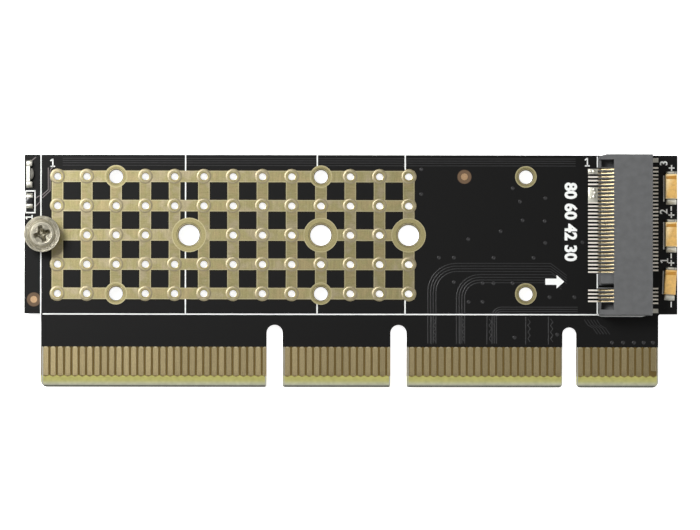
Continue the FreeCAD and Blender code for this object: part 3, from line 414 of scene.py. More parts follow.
def turnedFinish(name, colour, centre, ringPitch=0.2, depth=0.026, roughness=0.44):
    material, tree, shader = newMaterial(name, colour, roughness, 1.0)
    place = placeInMm(tree)
    axes = addNode(tree, "SeparateXYZ", {0: place}).outputs
    level = addNode(tree, "CombineXYZ", {0: axes[0], 1: axes[1], 2: 0.0}).outputs[0]
    radius = addNode(tree, "VectorMath", {0: level, 1: (centre[0], centre[1], 0)},
                     operation="DISTANCE").outputs["Value"]
    uneven = addNode(tree, "TexNoise", {"Vector": place, "Scale": 1.4, "Detail": 4.0}).outputs[0]
    wobble = addNode(tree, "Math", {0: uneven, 1: 0.12, 2: radius}, operation="MULTIPLY_ADD").outputs[0]
    phase = addNode(tree, "Math", {0: wobble, 1: 2 * math.pi / ringPitch}, operation="MULTIPLY").outputs[0]
    rings = addNode(tree, "Math", {0: phase}, operation="SINE").outputs[0]
    fine = addNode(tree, "TexNoise", {"Vector": place, "Scale": 7.0, "Detail": 3.0}).outputs[0]
    height = addNode(tree, "Math", {0: fine, 1: 1.3, 2: rings}, operation="MULTIPLY_ADD").outputs[0]
    bump = addNode(tree, "Bump", {"Height": height, "Distance": depth * mm, "Strength": 1.0})
    tree.links.new(bump.outputs[0], shader.inputs["Normal"])
    shade = addNode(tree, "MapRange", {0: uneven, **noiseSpan, 3: 0.86, 4: 1.08}).outputs[0]
    # painted shade darkens the recess of either head, in patches
    belowTop = addNode(tree, "Math", {0: turnedLook["topZ"], 1: axes[2]}, operation="SUBTRACT").outputs[0]
    inside = addNode(tree, "Math", {0: belowTop, 1: axes[2]}, operation="MINIMUM").outputs[0]
    sunk = addNode(tree, "MapRange", {0: inside, 1: 0.14, 2: 0.4, 3: 0.0, 4: 0.85}).outputs[0]
    inner = addNode(tree, "Math", {0: radius, 1: turnedLook["recess"]}, operation="LESS_THAN").outputs[0]
    paintedRecessShade = addNode(tree, "Math", {0: sunk, 1: inner}, operation="MULTIPLY").outputs[0]
    patchy = addNode(tree, "TexNoise", {"Vector": place, "Scale": 2.6, "Detail": 4.0}).outputs[0]
    patchy = addNode(tree, "MapRange", {0: patchy, 1: 0.4, 2: 0.6, 3: 1.0, 4: 0.3}).outputs[0]
    paintedRecessShade = addNode(tree, "Math", {0: paintedRecessShade, 1: patchy}, operation="MULTIPLY").outputs[0]
    hue = addNode(tree, "VectorMath", {0: toLinear(colour)[:3], "Scale": shade}, operation="SCALE").outputs[0]
    hue = addNode(tree, "Mix", {0: paintedRecessShade, 6: hue, 7: toLinear(turnedLook["paintedRecessShade"])},
                  data_type="RGBA").outputs[2]
    tree.links.new(hue, shader.inputs["Base Color"])
    return material


screwPlace = (-42.12, 4.9)        # the axis of the spacer and of both screws
finishes = {
    "solder_mask": maskedBoard(),
    "gold_plate": stripFinish(),
    # etched copper, dull and a little pink
    "bare_copper": plainFinish("bareCopper", "#ad8f6e", 0.45, 1.0, 0.2, 0.004, 0.1),
    # glass-filled moulding from a spark-eroded tool, grey and finely grained
    "socket_plastic": plainFinish("glassFilledPolymer", "#5a5b5c", 0.5, 0.0, 0.9, 0.02, 0.1, 0.4),
    # electroplated, pale with a soft shine
    "tin_plate": plainFinish("matteTin", "#c9c7bd", 0.42, 1.0, 0.12, 0.004, 0.1),
    # melted and set, bright and slightly lumpy
    "solder": plainFinish("reflowedSolder", "#dfddd0", 0.4, 0.85, 0.3, 0.015, 0.1),
    # turned and plated, with rings that glint
    "nickel_steel": turnedFinish("turnedNickelSteel", "#b6b1a0", screwPlace),
    # turned and plated, smoother and warmer
    "nickel_brass": turnedFinish("turnedNickelBrass", "#c4bca2", screwPlace, 0.3, 0.004),
    # moulded, bright white with a soft sheen
    "lamp_white": plainFinish("whiteReflector", "#eeefe6", 0.45, 0.0, 0.2, 0.003, 0.04),
    # cast clear resin, dark and glassy
    "lamp_lens": plainFinish("clearEpoxy", "#77756e", 0.1, 0.0, 0.3, 0.001, 0.05),
    # fired glass over the film, black and shiny
    "resistor_black": plainFinish("overglaze", "#202022", 0.16, 0.0, 0.2, 0.004, 0.15),
    "capacitor_orange": caseFinish(),
}
slotOf = {entry["node"]: entry["material_slot"] for entry in frame["record"]["subparts"]}
springs = springFinish()
for nodeName, thing in frame["nodes"].items():
    thing.data.materials.clear()
    isSpring = nodeName.startswith("socket_contacts")
    thing.data.materials.append(springs if isSpring else finishes[slotOf[nodeName]])
print("materials made")


# A box between two corners, in mm
def addBox(low, high):
    deselectAll()
    middle = [(a + b) / 2 * mm for a, b in zip(low, high)]
    bpy.ops.mesh.primitive_cube_add(size=mm, location=middle)
    thing = bpy.context.object
    thing.scale = [b - a for a, b in zip(low, high)]
    return applyPlace(thing)


# Into edit mode with only the wanted edges or faces selected; wanted is asked with the corners in mm
def choose(thing, kind, wanted):
    pick(thing)
    bpy.ops.object.mode_set(mode="EDIT")
    bpy.ops.mesh.select_mode(type=kind)
    bpy.ops.mesh.select_all(action="DESELECT")
    bpy.ops.object.mode_set(mode="OBJECT")
    members = thing.data.edges if kind == "EDGE" else thing.data.polygons
    for member in members:
        member.select = wanted([thing.data.vertices[index].co / mm for index in member.vertices])
    bpy.ops.object.mode_set(mode="EDIT")


# A question for choose: whether all corners lie at one level, in mm along an axis
def allAt(level, axis=2):
    return lambda corners: all(abs(corner[axis] - level) < 0.001 for corner in corners)


# Extrudes what is selected by a step in mm
def extrudeBy(x, y, z, extrude=bpy.ops.mesh.extrude_region_move):
    extrude(TRANSFORM_OT_translate={"value": (x * mm, y * mm, z * mm)})


def softenEdges(thing, width, steps, wanted=lambda corners: True):
    choose(thing, "EDGE", wanted)
    bpy.ops.mesh.bevel(offset=width * mm, segments=steps, clamp_overlap=True)
    bpy.ops.object.mode_set(mode="OBJECT")
    return thing


def smoothBy(thing, degrees=40):
    pick(thing)
    bpy.ops.object.shade_smooth_by_angle(angle=math.radians(degrees))
    return thing


def softBox(low, high, width, steps=2):
    return smoothBy(softenEdges(addBox(low, high), width, steps), 50)


def isUpright(corners):
    return abs(corners[0].z - corners[1].z) > 0.01


def joinAll(things):
    pick(*things)
    if len(things) > 1:
        bpy.ops.object.join()
    return bpy.context.object


# Copies of one piece, each with its own mesh, moved by (x, y, turn) in mm and degrees, and joined
def repeatAt(thing, places):
    copies = []
    for place in places:
        twin = thing.copy()
        twin.data = thing.data.copy()
        bpy.context.collection.objects.link(twin)
        twin.location = (place[0] * mm, place[1] * mm, 0)
        twin.rotation_euler = (0, 0, math.radians(place[2] if len(place) > 2 else 0))
        copies.append(twin)
    bpy.data.objects.remove(thing)
    return applyPlace(joinAll(copies))


def finishPiece(thing, name, slotName, material=None, replaced=()):
    applyPlace(thing)
    thing.name = name
    thing.data.name = name
    thing.data.materials.clear()
    thing.data.materials.append(material or finishes[slotName])
    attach(thing, "root")
    if replaced:
        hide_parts(*replaced)
    print("made", name)
    return thing


# Turn a profile of (radius, height) in mm about an upright axis; a hollow one closes on itself
def turnRings(profile, centre, steps, hollow=False):
    x, y = centre
    deselectAll()
    radius, height = profile[0]
    bpy.ops.mesh.primitive_circle_add(vertices=steps, radius=radius * mm,
                                      location=(x * mm, y * mm, height * mm),
                                      fill_type="NOTHING" if hollow else "NGON")
    thing = bpy.context.object
    bpy.ops.object.mode_set(mode="EDIT")
    bpy.ops.mesh.select_mode(type="EDGE")
    bpy.ops.mesh.select_all(action="SELECT")
    extrude = bpy.ops.mesh.extrude_edges_move if hollow else bpy.ops.mesh.extrude_region_move
    for nextRadius, nextHeight in profile[1:]:
        extrudeBy(0, 0, nextHeight - height, extrude)
        grow = nextRadius / radius
        bpy.ops.transform.resize(value=(grow, grow, 1), center_override=(x * mm, y * mm, nextHeight * mm))
        radius, height = nextRadius, nextHeight
    if hollow:
        bpy.ops.mesh.select_all(action="DESELECT")
        bpy.ops.mesh.select_non_manifold()
        bpy.ops.mesh.bridge_edge_loops()
    bpy.ops.mesh.select_all(action="SELECT")
    bpy.ops.mesh.normals_make_consistent(inside=False)
    bpy.ops.object.mode_set(mode="OBJECT")
    return applyPlace(smoothBy(thing))


# A low rounded ridge along a path of points, in mm, lying on the front face
def ridge(points, width, height):
    deselectAll()
    bpy.ops.mesh.primitive_plane_add(size=0.001 * mm, location=(points[0][0] * mm, points[0][1] * mm, 0))
    line = bpy.context.object
    bpy.ops.object.mode_set(mode="EDIT")
    bpy.ops.mesh.select_mode(type="VERT")
    bpy.ops.mesh.select_all(action="SELECT")
    bpy.ops.mesh.merge(type="CENTER")
    for (x0, y0), (x1, y1) in zip(points, points[1:]):
        extrudeBy(x1 - x0, y1 - y0, 0, bpy.ops.mesh.extrude_vertices_move)
    bpy.ops.object.mode_set(mode="OBJECT")
    bpy.ops.object.convert(target="CURVE")
    line = bpy.context.object
    line.data.bevel_depth = width / 2 * mm
    line.data.bevel_resolution = 1
    line.data.use_fill_caps = True
    bpy.ops.object.convert(target="MESH")
    line = bpy.context.object
    line.scale = (1, 1, 2 * height / width)
    line.location.z = faceZ * mm
    return applyPlace(line)


# Edge contacts: gold strips with rounded heads; the first one is short
contacts = {"pitch": 1.0, "width": 0.7, "foot": -14.35, "head": -10.35, "first": 41.35, "shortBy": 0.7,
            "thick": 0.05, "groups": ((41.35, 11), (28.35, 21), (4.35, 14), (-12.65, 30)),
            "cut": ((5.0, 5.42), (-12.0, -11.5)), "shoulder": 0.26, "heel": 0.14, "rim": 0.05}


def contactStrip(left, right, foot, head, low):
    high = low + contacts["thick"]
    strip = addBox((left, foot, low), (right, head, high))
    softenEdges(strip, min(contacts["shoulder"], (right - left) * 0.49), 3,
                lambda corners: isUpright(corners) and min(corner.y for corner in corners) > head - 0.01)
    softenEdges(strip, contacts["heel"], 2,
                lambda corners: isUpright(corners) and max(corner.y for corner in corners) < foot + 0.01)
    return softenEdges(strip, contacts["rim"], 1, allAt(high if low > midZ else low))


def contactRow(low):
    half, first = contacts["width"] / 2, contacts["first"]
    strips = [contactStrip(first - half, first + half, contacts["foot"] + contacts["shortBy"],
                           contacts["head"], low)]
    strips += [contactStrip(left, right, contacts["foot"], contacts["head"], low)
               for left, right in contacts["cut"]]
    model = contactStrip(-half, half, contacts["foot"], contacts["head"], low)
    places = [(start - number * contacts["pitch"], 0)
              for start, count in contacts["groups"] for number in range(count)]
    strips.append(repeatAt(model, [place for place in places if place[0] < first - 0.1]))
    return joinAll(strips)


finishPiece(contactRow(faceZ), "contactsFront", "gold_plate", replaced=["edge_contacts_front"])
finishPiece(contactRow(backZ - contacts["thick"]), "contactsBack", "gold_plate",
            replaced=["edge_contacts_back"])

# Heat vias: a raised pad with a dished mouth that leads into a plated barrel
vias = {"pitch": 4.0, "left": -40.1, "top": 12.9, "columns": 13, "rows": 5, "wide": (2, 9),
        "middle": (1, 2, 3, 6, 7, 8, 10, 11), "pad": 1.05, "lip": 0.77, "bore": 0.47, "dish": 0.12,
        "shell": 0.54, "steps": 24}
viaPlaces = []
for column in range(vias["columns"]):
    for row in range(vias["rows"]):
        isVia = column in vias["middle"] if row == 2 else not (row in (0, 4) and column in vias["wide"])
        if isVia:
            viaPlaces.append((vias["left"] + vias["pitch"] * column, vias["top"] - vias["pitch"] * row))
padTop = copperZ + 0.02
barrel = turnRings([(vias["pad"], copperZ - 0.03), (vias["pad"] - 0.07, padTop), (vias["lip"], padTop),
                    (vias["lip"], copperZ - 0.03)], (0, 0), vias["steps"], hollow=True)
# plated copper, worn to a soft sheen
barrelPlating = plainFinish("barrelPlating", "#a2987c", 0.5, 1.0, 0.2, 0.004, 0.12)
finishPiece(repeatAt(barrel, viaPlaces), "viaPads", "solder_mask", barrelPlating)
mouth = turnRings([(vias["lip"], padTop - 0.02), (vias["bore"], padTop - vias["dish"]),
                   (vias["bore"], backZ - 0.02), (vias["shell"], backZ - 0.02),
                   (vias["shell"], padTop - vias["dish"] - 0.03), (vias["lip"], padTop - 0.05)],
                  (0, 0), vias["steps"], hollow=True)
# tinned wall, smoother and brighter than the pad
tinnedBore = plainFinish("tinnedBore", "#aaa188", 0.34, 1.0, 0.2, 0.003, 0.08)
finishPiece(repeatAt(mouth, viaPlaces), "viaMouths", "solder_mask", tinnedBore)

# Rolled lips of the drilled holes and raised rims of their round pads, by hole radius
holes = {"sink": (1.0, ((-32.1, 12.9), (-32.1, -3.1), (-4.1, 12.9), (-4.1, -3.1),
                        (23.9, 12.9), (23.9, -3.1))),
         "stand": (1.5, ((7.88, 4.9), (-4.12, 4.9), (-22.12, 4.9))), "lip": 0.22, "rise": 0.015, "steps": 40}
pads = {"sink": (1.525, holes["sink"][1][:4]), "lone": (1.475, holes["sink"][1][4:]),
        "stand": (2.35, holes["stand"][1]), "rim": 0.1, "rise": 0.012, "faceRise": 0.006, "steps": 48}
lips, rims, faces = [], [], []
for radius, places in (holes["sink"], holes["stand"]):
    lip, crest = radius + holes["lip"], copperZ + holes["rise"]
    ring = turnRings([(lip, copperZ - 0.02), (lip - 0.02, crest), (lip - 0.06, crest),
                      (radius - 0.03, copperZ - 0.1), (radius - 0.07, copperZ - 0.2),
                      (radius - 0.07, backZ - 0.02), (radius + 0.1, backZ - 0.02),
                      (radius + 0.1, copperZ - 0.02)], (0, 0), holes["steps"], hollow=True)
    lips.append(repeatAt(ring, places))
# the lip into each hole, painted dark as the shade in the hole's mouth, beside the bright pad
lipPlating = plainFinish("lipPlating", "#6f694f", 0.45, 1.0, 0.2, 0.004, 0.1)
finishPiece(joinAll(lips), "holeLips", "solder_mask", lipPlating)
for radius, places in (pads["sink"], pads["lone"], pads["stand"]):
    inner, crest = radius - pads["rim"], copperZ + pads["rise"]
    ring = turnRings([(radius + 0.005, copperZ - 0.03), (radius, crest), (inner, crest),
                      (inner - 0.02, copperZ - 0.03)], (0, 0), pads["steps"], hollow=True)
    rims.append(repeatAt(ring, places))
# the raised rim of each pad, painted paler as a highlight
paintedHighlightRim = plainFinish("paintedHighlightRim", "#bab18b", 0.42, 1.0, 0.2, 0.004, 0.1)
finishPiece(joinAll(rims), "padRims", "solder_mask", paintedHighlightRim)
for name in ("sink", "lone", "stand"):
    radius, places = pads[name]
    outer, crest = radius - pads["rim"] + 0.01, copperZ + pads["faceRise"]
    inner = holes["stand" if name == "stand" else "sink"][0] + 0.2
    ring = turnRings([(outer, copperZ - 0.03), (outer, crest), (inner, crest), (inner, copperZ - 0.03)],
                     (0, 0), pads["steps"], hollow=True)
    faces.append(repeatAt(ring, places))
# the pad's face, scuffed and duller than its rim
wornPadPlating = plainFinish("wornPadPlating", "#9d946a", 0.44, 1.0, 0.12, 0.005, 0.16)
finishPiece(joinAll(faces), "padFaces", "solder_mask", wornPadPlating)

# Screws: a flange and a low dome with a cross recess, and below the seat a shank
screws = {"frontSeat": 5.3, "rearSeat": 1.2, "flange": 2.475, "dome": 1.75, "flangeHigh": 0.5,
          "domeHigh": 0.7, "shank": 0.97, "shankLong": 1.72, "armLong": 1.3, "armWide": 0.37, "deep": 0.8,
          "heart": 0.72, "turn": 17, "steps": 96,
          "grooves": ((2.16, 0.49), (2.12, 0.46), (2.08, 0.49), (1.9, 0.485), (1.86, 0.455), (1.82, 0.5))}


def recessArm(turn, seat, way):
    top = seat + way * (screws["flangeHigh"] + screws["domeHigh"])
    low, high = sorted((top - way * screws["deep"], top + way * 0.2))
    arm = addBox((-screws["armLong"], -screws["armWide"], low), (screws["armLong"], screws["armWide"], high))
    foot = top - way * screws["deep"]
    choose(arm, "FACE", allAt(foot))
    bpy.ops.transform.resize(value=(0.55, 0.5, 1), center_override=(0, 0, foot * mm))
    bpy.ops.object.mode_set(mode="OBJECT")
    softenEdges(arm, 0.09, 2, isUpright)
    arm.rotation_euler = (0, 0, math.radians(screws["turn"] + turn))
    arm.location = (screwPlace[0] * mm, screwPlace[1] * mm, 0)
    return applyPlace(arm)


def carve(thing, cutter):
    pick(thing)
    dig = thing.modifiers.new("recess", "BOOLEAN")
    dig.operation = "DIFFERENCE"
    dig.object = cutter
    bpy.ops.object.modifier_apply(modifier="recess")
    bpy.data.objects.remove(cutter)
    return thing


def screwAt(seat, way):
    flange, dome, shank = screws["flange"], screws["dome"], screws["shank"]
    profile = [(shank - 0.15, -screws["shankLong"]), (shank, -screws["shankLong"] + 0.15), (shank, 0.0),
               (flange - 0.08, 0.0), (flange, 0.08), (flange, 0.4), (flange - 0.04, 0.47),
               (flange - 0.12, 0.5), *screws["grooves"], (dome + 0.02, 0.52), (dome, 0.6),
               (dome - 0.04, 0.78), (dome - 0.13, 0.95), (dome - 0.3, 1.08), (dome - 0.55, 1.155),
               (dome - 0.9, 1.19), (0.4, 1.2), (0.05, 1.2)]
    head = turnRings([(radius, seat + way * rise) for radius, rise in profile], screwPlace, screws["steps"])
    for turn in (0, 90):
        carve(head, recessArm(turn, seat, way))
    top = seat + way * (screws["flangeHigh"] + screws["domeHigh"])
    heart = turnRings([(0.1, top - way * (screws["deep"] + 0.12)),
                       (screws["heart"] * 0.6, top - way * screws["deep"]),
                       (screws["heart"], top + way * 0.1)], screwPlace, 20)
    return smoothBy(carve(head, heart), 30)


finishPiece(screwAt(screws["frontSeat"], 1), "moduleScrew", "nickel_steel", replaced=["module_screw"])
finishPiece(screwAt(screws["rearSeat"], -1), "spacerScrew", "nickel_steel", replaced=["spacer_screw"])


# A solder wedge that slopes down away from the part; side is the y direction that it slopes to
def solderWedge(left, right, foot, head, low, high, side, kept=0.22):
    wedge = addBox((left, foot, low), (right, head, high))
    inner = foot if side > 0 else head
    choose(wedge, "FACE", allAt(high))
    bpy.ops.transform.resize(value=(0.8, kept, 1),
                             center_override=((left + right) / 2 * mm, inner * mm, high * mm))
    bpy.ops.object.mode_set(mode="OBJECT")
    softenEdges(wedge, 0.07, 3)
    return smoothBy(wedge, 60)


# Side-firing lamp: white reflector bar, clear lens on its right, tinned ends
lamp = {"left": -44.35, "front": -43.85, "foot": 12.15, "head": 14.25, "low": 2.8, "high": 3.9,
        "soft": 0.03, "panel": 0.1, "sunk": 0.04, "lens": (0.55, 0.85, 0.475), "lensLevel": 3.275,
        "endRight": -43.55, "endLow": 11.5, "endHigh": 14.9, "endDrop": 0.15, "endSoft": 0.09}
reflector = addBox((lamp["left"], lamp["foot"], lamp["low"]), (lamp["front"], lamp["head"], lamp["high"]))
choose(reflector, "FACE", allAt(lamp["high"]))
bpy.ops.mesh.inset(thickness=lamp["panel"] * mm)
extrudeBy(0, 0, -lamp["sunk"])
bpy.ops.object.mode_set(mode="OBJECT")
softenEdges(reflector, lamp["soft"], 2,
            lambda corners: max(corner.z for corner in corners) > lamp["high"] - 0.001)
finishPiece(smoothBy(reflector, 50), "lampReflector", "lamp_white", replaced=["led_base"])
deselectAll()
bpy.ops.mesh.primitive_uv_sphere_add(segments=32, ring_count=18, radius=mm, location=(0, 0, 0))
lens = bpy.context.object
lens.scale = lamp["lens"]
lens.location = (lamp["front"] * mm, (lamp["foot"] + lamp["head"]) / 2 * mm, lamp["lensLevel"] * mm)
applyPlace(lens)
pick(lens)
bpy.ops.object.mode_set(mode="EDIT")
bpy.ops.mesh.select_all(action="SELECT")
bpy.ops.mesh.bisect(plane_co=(lamp["front"] * mm, 0, 0), plane_no=(1, 0, 0), use_fill=True, clear_inner=True)
bpy.ops.mesh.select_all(action="SELECT")
bpy.ops.mesh.normals_make_consistent(inside=False)
bpy.ops.object.mode_set(mode="OBJECT")
finishPiece(smoothBy(lens, 50), "lampLens", "lamp_lens", replaced=["led_lens"])
endTop = lamp["high"] - lamp["endDrop"]
ends = [softBox((lamp["left"], foot, lamp["low"]), (lamp["endRight"], head, endTop), lamp["endSoft"], 3)
        for foot, head in ((lamp["endLow"], lamp["foot"]), (lamp["head"], lamp["endHigh"]))]
finishPiece(joinAll(ends), "lampEnds", "tin_plate", replaced=["led_terminals"])

# Chip resistor: glazed body between two tinned caps
chip = {"left": -44.3, "right": -43.5, "foot": 8.73, "head": 10.27, "low": 2.83, "high": 3.28,
        "cap": 0.36, "proud": 0.03, "wedgeLeft": -44.35, "wedgeRight": -43.5,
        "wedges": ((8.45, 8.7, 3.25, -1), (10.3, 10.6, 3.25, 1), (11.28, 11.5, 3.3, -1),
                   (14.9, 15.1, 3.3, 1))}
chipBody = softBox((chip["left"], chip["foot"], chip["low"]),
                   (chip["right"], chip["head"], chip["high"]), 0.03, 2)
finishPiece(chipBody, "resistorBody", "resistor_black", replaced=["resistor_body"])
proud = chip["proud"]
capLeft, capRight, capTop = chip["left"] - proud, chip["right"] + proud, chip["high"] + proud
caps = [softBox((capLeft, foot, faceZ), (capRight, head, capTop), 0.06, 3)
        for foot, head in ((chip["foot"] - proud, chip["foot"] + chip["cap"]),
                           (chip["head"] - chip["cap"], chip["head"] + proud))]
finishPiece(joinAll(caps), "resistorCaps", "tin_plate", replaced=["resistor_terminals"])
wedges = [solderWedge(chip["wedgeLeft"], chip["wedgeRight"], foot, head, faceZ, high, side)
          for foot, head, high, side in chip["wedges"]]
finishPiece(joinAll(wedges), "chipSolder", "solder", replaced=["solder_fillets"])

# Moulded capacitors: drafted case with a darker band, folded end plates and solder
capacitor = {"half": (0.8, 1.69), "low": 2.9, "seam": 3.6, "high": 4.4, "draft": (0.9, 0.96), "soft": 0.06,
             "band": (0.98, 1.42, 0.69), "plate": (0.6, 1.76), "plateHigh": 3.6, "solder": (0.75, 2.5, 2.1),
             "solderHigh": 3.3, "notch": (0.5, 1.9, 0.13), "turns": (-3.5, 0, 0)}
capacitorPlaces = []
for number, turn in enumerate(capacitor["turns"], start=1):
    low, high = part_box("capacitor_case_%d" % number)
    capacitorPlaces.append(((low.x + high.x) / 2 / mm, (low.y + high.y) / 2 / mm, turn))
halfX, halfY = capacitor["half"]
case = addBox((-halfX, -halfY, capacitor["low"]), (halfX, halfY, capacitor["seam"]))
choose(case, "FACE", allAt(capacitor["seam"]))
extrudeBy(0, 0, capacitor["high"] - capacitor["seam"])
bpy.ops.transform.resize(value=(*capacitor["draft"], 1), center_override=(0, 0, 0))
bpy.ops.object.mode_set(mode="OBJECT")
softenEdges(case, capacitor["soft"], 3,
            lambda corners: max(corner.z for corner in corners) > capacitor["seam"] + 0.01)
finishPiece(smoothBy(repeatAt(case, capacitorPlaces), 40), "capacitorCases", "capacitor_orange",
            replaced=["capacitor_case_1", "capacitor_case_2", "capacitor_case_3"])
bandLow, bandHigh, bandHalf = capacitor["band"]
band = softBox((-bandHalf, bandLow, capacitor["high"] - 0.02),
               (bandHalf, bandHigh, capacitor["high"] + 0.008), 0.006, 1)
# the same epoxy, burnt darker by a laser
laserBand = plainFinish("laserBand", "#b5802a", 0.45, 0.0, 0.12, 0.004, 0.1, 0.4)
finishPiece(repeatAt(band, capacitorPlaces), "polarityBands", "capacitor_orange", laserBand)
plateHalf, plateEnd = capacitor["plate"]
plates = [softBox((-plateHalf, start, faceZ), (plateHalf, end, capacitor["plateHigh"]), 0.05, 2)
          for start, end in ((-plateEnd, -halfY + 0.06), (halfY - 0.06, plateEnd))]
finishPiece(repeatAt(joinAll(plates), capacitorPlaces), "capacitorPlates", "tin_plate",
            replaced=["capacitor_terminals_1", "capacitor_terminals_2", "capacitor_terminals_3"])
solderHalf, solderFoot, solderHead = capacitor["solder"]
fillets = [solderWedge(-solderHalf, solderHalf, -solderFoot, -plateEnd, faceZ, capacitor["solderHigh"], -1),
           solderWedge(-solderHalf, solderHalf, plateEnd, solderHead, faceZ, capacitor["solderHigh"], 1, 0.8)]
finishPiece(repeatAt(joinAll(fillets), capacitorPlaces), "capacitorSolder", "solder",
            replaced=["capacitor_solder_1", "capacitor_solder_2", "capacitor_solder_3"])
notchX, notchY, notchRadius = capacitor["notch"]
pit = turnRings([(notchRadius, 3.1), (notchRadius, 3.29), (notchRadius * 0.6, 3.31),
                 (notchRadius * 0.3, 3.28)], (0, 0), 14)
pits = repeatAt(pit, [(-notchX, notchY), (notchX, notchY)])
# a dark disc painted as the shade in the terminal's notch, brown and nearly black
notchShade = plainFinish("notchShade", "#1c150d", 0.5, 0.0, 0.1, 0.003, 0.2)
finishPiece(repeatAt(pits, capacitorPlaces), "terminalNotches", "resistor_black", notchShade)

# Solder that joins the tails of the supply pins into broad pads
supply = {"left": 32.4, "right": 33.75, "rows": ((13.29, 14.01), (9.45, 11.51)), "high": 2.99,
          "drops": ((33.15, 13.66, 0.3), (32.75, 13.62, 0.2), (33.2, 11.16, 0.27), (33.35, 10.7, 0.27),
                    (33.2, 10.2, 0.29), (32.8, 10.05, 0.2))}
pools = [softBox((supply["left"], foot, faceZ), (supply["right"], head, supply["high"]), 0.07, 3)
         for foot, head in supply["rows"]]
rise = supply["high"]
for x, y, radius in supply["drops"]:
    drop = [(radius, rise - 0.04), (radius * 0.9, rise + 0.03), (radius * 0.6, rise + 0.08),
            (radius * 0.2, rise + 0.1)]
    pools.append(turnRings(drop, (x, y), 18))
finishPiece(joinAll(pools), "supplySolder", "solder", replaced=["supply_pads"])

# Copper runs under the mask: low ridges that catch the light
runs = {"thin": 0.13, "high": 0.022, "longRows": (15.35, 15.05, 14.75, 14.4), "longFrom": -39.4,
        "longTo": 30.7,
        "lampPair": (((-41.36, 14.08), (-41.36, 11.06), (-42.18, 10.31)),
                     ((-40.69, 14.22), (-41.1, 13.74), (-41.1, 10.93), (-42.18, 9.9))),
        "chipRuns": (((-43.73, 14.95), (-43.05, 15.5)), ((-43.08, 8.75), (-42.5, 9.4), (-42.42, 10.2)),
                     ((-43.08, 9.9), (-42.42, 10.3))),
        "bends": ((14.43, -2.83, (3.9, 3.53, 3.16, 2.79), 27.3, 2.2),
                  (17.6, -3.62, (3.16, 2.79, 2.42, 2.05), 27.6, 1.2),
                  (20.6, -6.2, (1.3, 1.0, 0.7), 31.0, 0.0)), "bendFoot": -9.9,
        "tuned": (11.0, 14.95, 18.6, 23.9, 27.0), "tunedTop": -6.5, "tunedFoot": -10.0,
        "tunedLead": 0.3, "tunedStep": 0.45, "tunedSway": 0.16,
        "fan": ((31.9, -6.6), (32.4, -7.35), (33.1, -7.75), (33.7, -8.6)), "fanStep": 0.42, "fanCount": 5,
        "dots": ((9.61, 13.93), (9.61, 10.52), (22.1, 11.34), (23.11, 9.52), (23.46, 6.96),
                 (20.46, 5.46), (16.05, 4.37), (12.04, 1.84), (14.08, 1.84), (19.5, 1.84),
                 (14.08, -1.51), (18.0, -1.64), (19.5, -1.64), (22.1, -1.64), (16.09, -4.2),
                 (18.0, -4.2), (22.37, -9.06), (28.2, -8.65), (35.7, -9.74), (37.2, -9.74),
                 (38.7, -9.74), (40.0, -9.74), (41.3, -9.74), (26.56, 10.0), (26.47, 6.86),
                 (26.56, 3.88), (31.66, 3.96), (24.97, 1.84), (30.57, -3.55), (27.15, -3.55)),
        "dotRadius": 0.28, "dotHigh": 0.04}
paths = [[(runs["longFrom"], y), (runs["longTo"], y)] for y in runs["longRows"]]
for x, y, radii, end, drop in runs["bends"]:
    for radius in radii:
        arc = [(x - radius * math.cos(turn * math.pi / 16), y + radius * math.sin(turn * math.pi / 16))
               for turn in range(9)]
        path = [(x - radius, runs["bendFoot"])] + arc + [(end, y + radius)]
        if drop:
            path.append((end + drop, y + radius - drop * 0.75))
        paths.append(path)
step, sway = runs["tunedStep"], runs["tunedSway"]
turns = int((runs["tunedTop"] - runs["tunedFoot"]) / step)
for x in runs["tuned"]:
    paths.append([(x, runs["tunedTop"] + runs["tunedLead"]), (x, runs["tunedFoot"])])
    paths.append([(x + step + (sway if number % 2 else -sway), runs["tunedTop"] - step * number)
                  for number in range(turns + 1)])
for number in range(runs["fanCount"]):
    paths.append([(x + runs["fanStep"] * number, y) for x, y in runs["fan"]])
lines = [ridge(path, runs["thin"], runs["high"]) for path in paths]
# the same mask, thinner and so paler over copper
maskedRun = plainFinish("maskOverCopper", "#222223", 0.38, 0.0, 0.4, 0.002, 0.15, 0.35)
finishPiece(smoothBy(joinAll(lines)), "maskedRuns", "solder_mask", maskedRun)
lampRuns = [ridge(path, runs["thin"], runs["high"]) for path in runs["lampPair"] + runs["chipRuns"]]
# the mask over the lamp's own runs, which reads greyer
maskOverLampRun = plainFinish("maskOverLampRun", "#6d6565", 0.4, 0.0, 0.3, 0.002, 0.15, 0.35)
finishPiece(smoothBy(joinAll(lampRuns)), "lampRuns", "solder_mask", maskOverLampRun)
wide, high = runs["dotRadius"], runs["dotHigh"]
dome = turnRings([(wide, faceZ - 0.01), (wide * 0.85, faceZ + high * 0.7), (wide * 0.5, faceZ + high),
                  (wide * 0.3, faceZ + high * 0.4)], (0, 0), 14)
finishPiece(repeatAt(dome, runs["dots"]), "tentedVias", "solder_mask", maskedRun)

